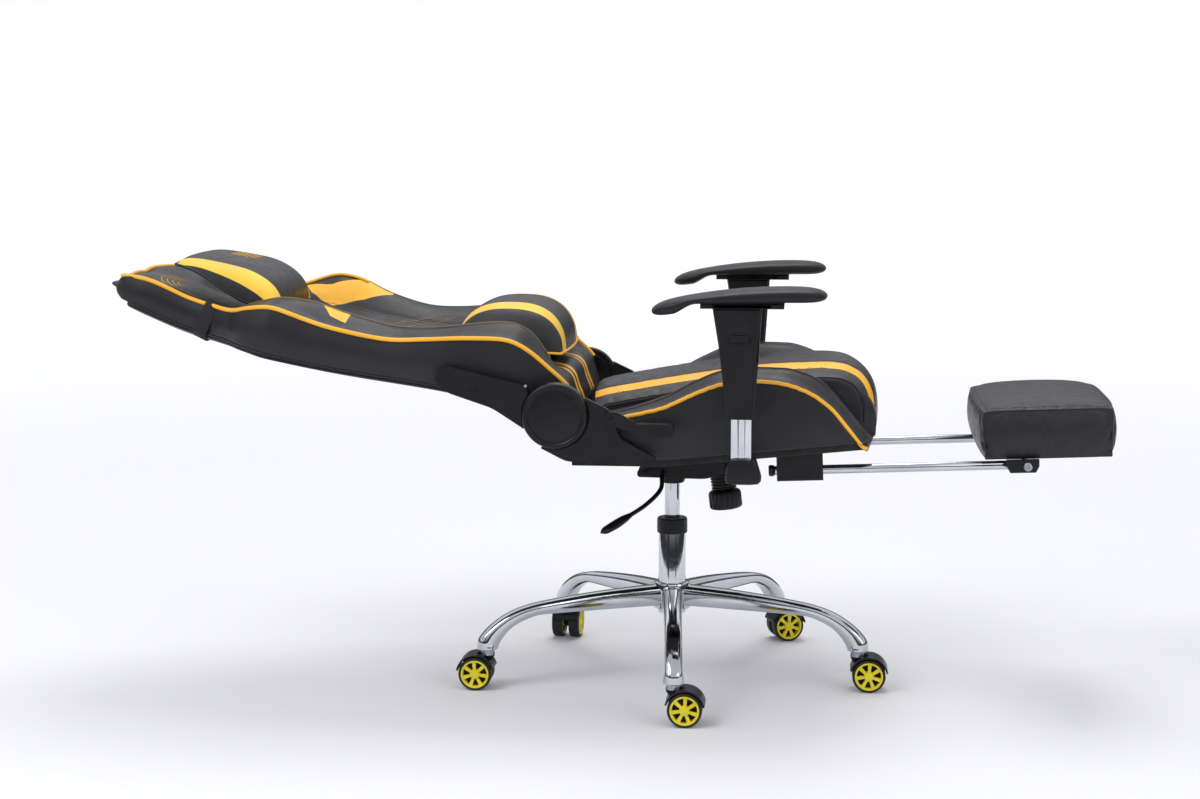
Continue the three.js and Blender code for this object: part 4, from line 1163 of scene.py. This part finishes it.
def glow(shade, kind, out, low, high, strength, curve="LINEAR", **settings):
    """Makes a material shine, by how far its measure of the place has come from low to high."""
    nodes, links = shade.node_tree.nodes, shade.node_tree.links
    where, measure, ramp = (nodes.new(f"ShaderNode{k}") for k in ("TexCoord", kind, "MapRange"))
    ramp.interpolation_type = curve
    for key, value in settings.items():
        setattr(measure, key, value)
    links.new(where.outputs["Object"], measure.inputs[0])
    links.new(measure.outputs[out], ramp.inputs["Value"])
    ramp.inputs["From Min"].default_value, ramp.inputs["From Max"].default_value = low, high
    ramp.inputs["To Max"].default_value = strength
    shader = nodes["Principled BSDF"]
    links.new(ramp.outputs[0], shader.inputs["Emission Strength"])
    shader.inputs["Emission Color"].default_value = (1, 1, 1, 1)


def paint(name, tone):
    shade = bpy.data.materials.new(name)
    shade.use_nodes = True
    shade.node_tree.nodes["Principled BSDF"].inputs["Base Color"].default_value = (*tone, 1)
    return shade


def room():
    """A white floor that curves up into a wall, dark cards for the chrome to reflect, and the lights."""
    shade = paint("paper", (0.77, 0.77, 0.795))
    shade.node_tree.nodes["Principled BSDF"].inputs["Roughness"].default_value = 0.75
    glow(shade, "VectorMath", "Value", 1.2, 6.5, 0.36, "SMOOTHSTEP", operation="LENGTH")
    points, faces = lathe([(0.01, 0), (3, 0), (7.5, 0), (9.2, 0.25), (10.4, 1.0), (11.2, 2.4), (11.6, 6)], 96)
    floor = studio_mesh("studio_floor", points.tolist(), [q[::-1] for q in faces[:-1]], shade)
    floor.data.shade_smooth()
    world = bpy.data.worlds.new("studio")
    world.use_nodes = True
    world.node_tree.nodes["Background"].inputs["Color"].default_value = (0.95, 0.96, 1.0, 1)
    world.node_tree.nodes["Background"].inputs["Strength"].default_value = 0.70
    bpy.context.scene.world = world
    for name, spot, aim, size, power in (("key", (-2.6, -2.4, 4.2), (0, 0, 0.5), 2.6, 95),
                                         ("fill", (3.4, -3.2, 2.6), (0, 0, 0.5), 3.0, 40),
                                         ("top", (0.2, 1.6, 4.6), (0, 0, 0.6), 2.4, 84)):
        lamp = bpy.data.lights.new(name, "AREA")
        lamp.size, lamp.energy = size, power
        obj = bpy.data.objects.new(name, lamp)
        obj.location = spot
        obj.rotation_euler = (Vector(aim) - Vector(spot)).to_track_quat("-Z", "Y").to_euler()
        bpy.context.scene.collection.objects.link(obj)
    ink = paint("ink", (0.01, 0.01, 0.012))
    for name, x, turn in (("card_left", -1.55, 0.3), ("card_right", 2.3, -0.4)):
        c, s = 0.55 * math.cos(turn), 0.55 * math.sin(turn)
        foot = [(x - c, -3.0 - s, 0.0), (x + c, -3.0 + s, 0.0)]
        head = [(x + c, -3.0 + s, 2.4), (x - c, -3.0 - s, 2.4)]
        studio_mesh(name, foot + head, [(0, 1, 2, 3)], ink, seen=False)
    dusk = ink.copy()
    glow(dusk, "SeparateXYZ", "Z", 0.7, 2.4, 0.6)
    points, faces = lathe([(5.6, 0.1), (5.6, 2.4)], 96)
    ring = studio_mesh("card_ring", points.tolist(), faces[:-2], dusk, seen=False)
    ring.visible_transmission = False
    bpy.context.scene.view_settings.view_transform = "Standard"


def camera():
    data = bpy.data.cameras.new("camera")
    data.lens, data.sensor_width = 70.0, 36.0
    cam = bpy.data.objects.new("camera", data)
    cam.location = (0.3666, -4.2301, 1.0636)
    cam.rotation_euler = (math.radians(90 - 7.393), 0, math.radians(5.277))
    bpy.context.scene.collection.objects.link(cam)
    bpy.context.scene.camera = cam


camera()
room()
star_base()
for name, (star, trail) in CASTERS.items():
    caster(name, star, trail)
gas_lift()
mechanism()
for side, hand in HANDS:
    recliner(side, hand)
recline_lever()
for side, hand in HANDS:
    armrest(side, hand)
footrest()
seat()
soft_trim(back())

low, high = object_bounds()
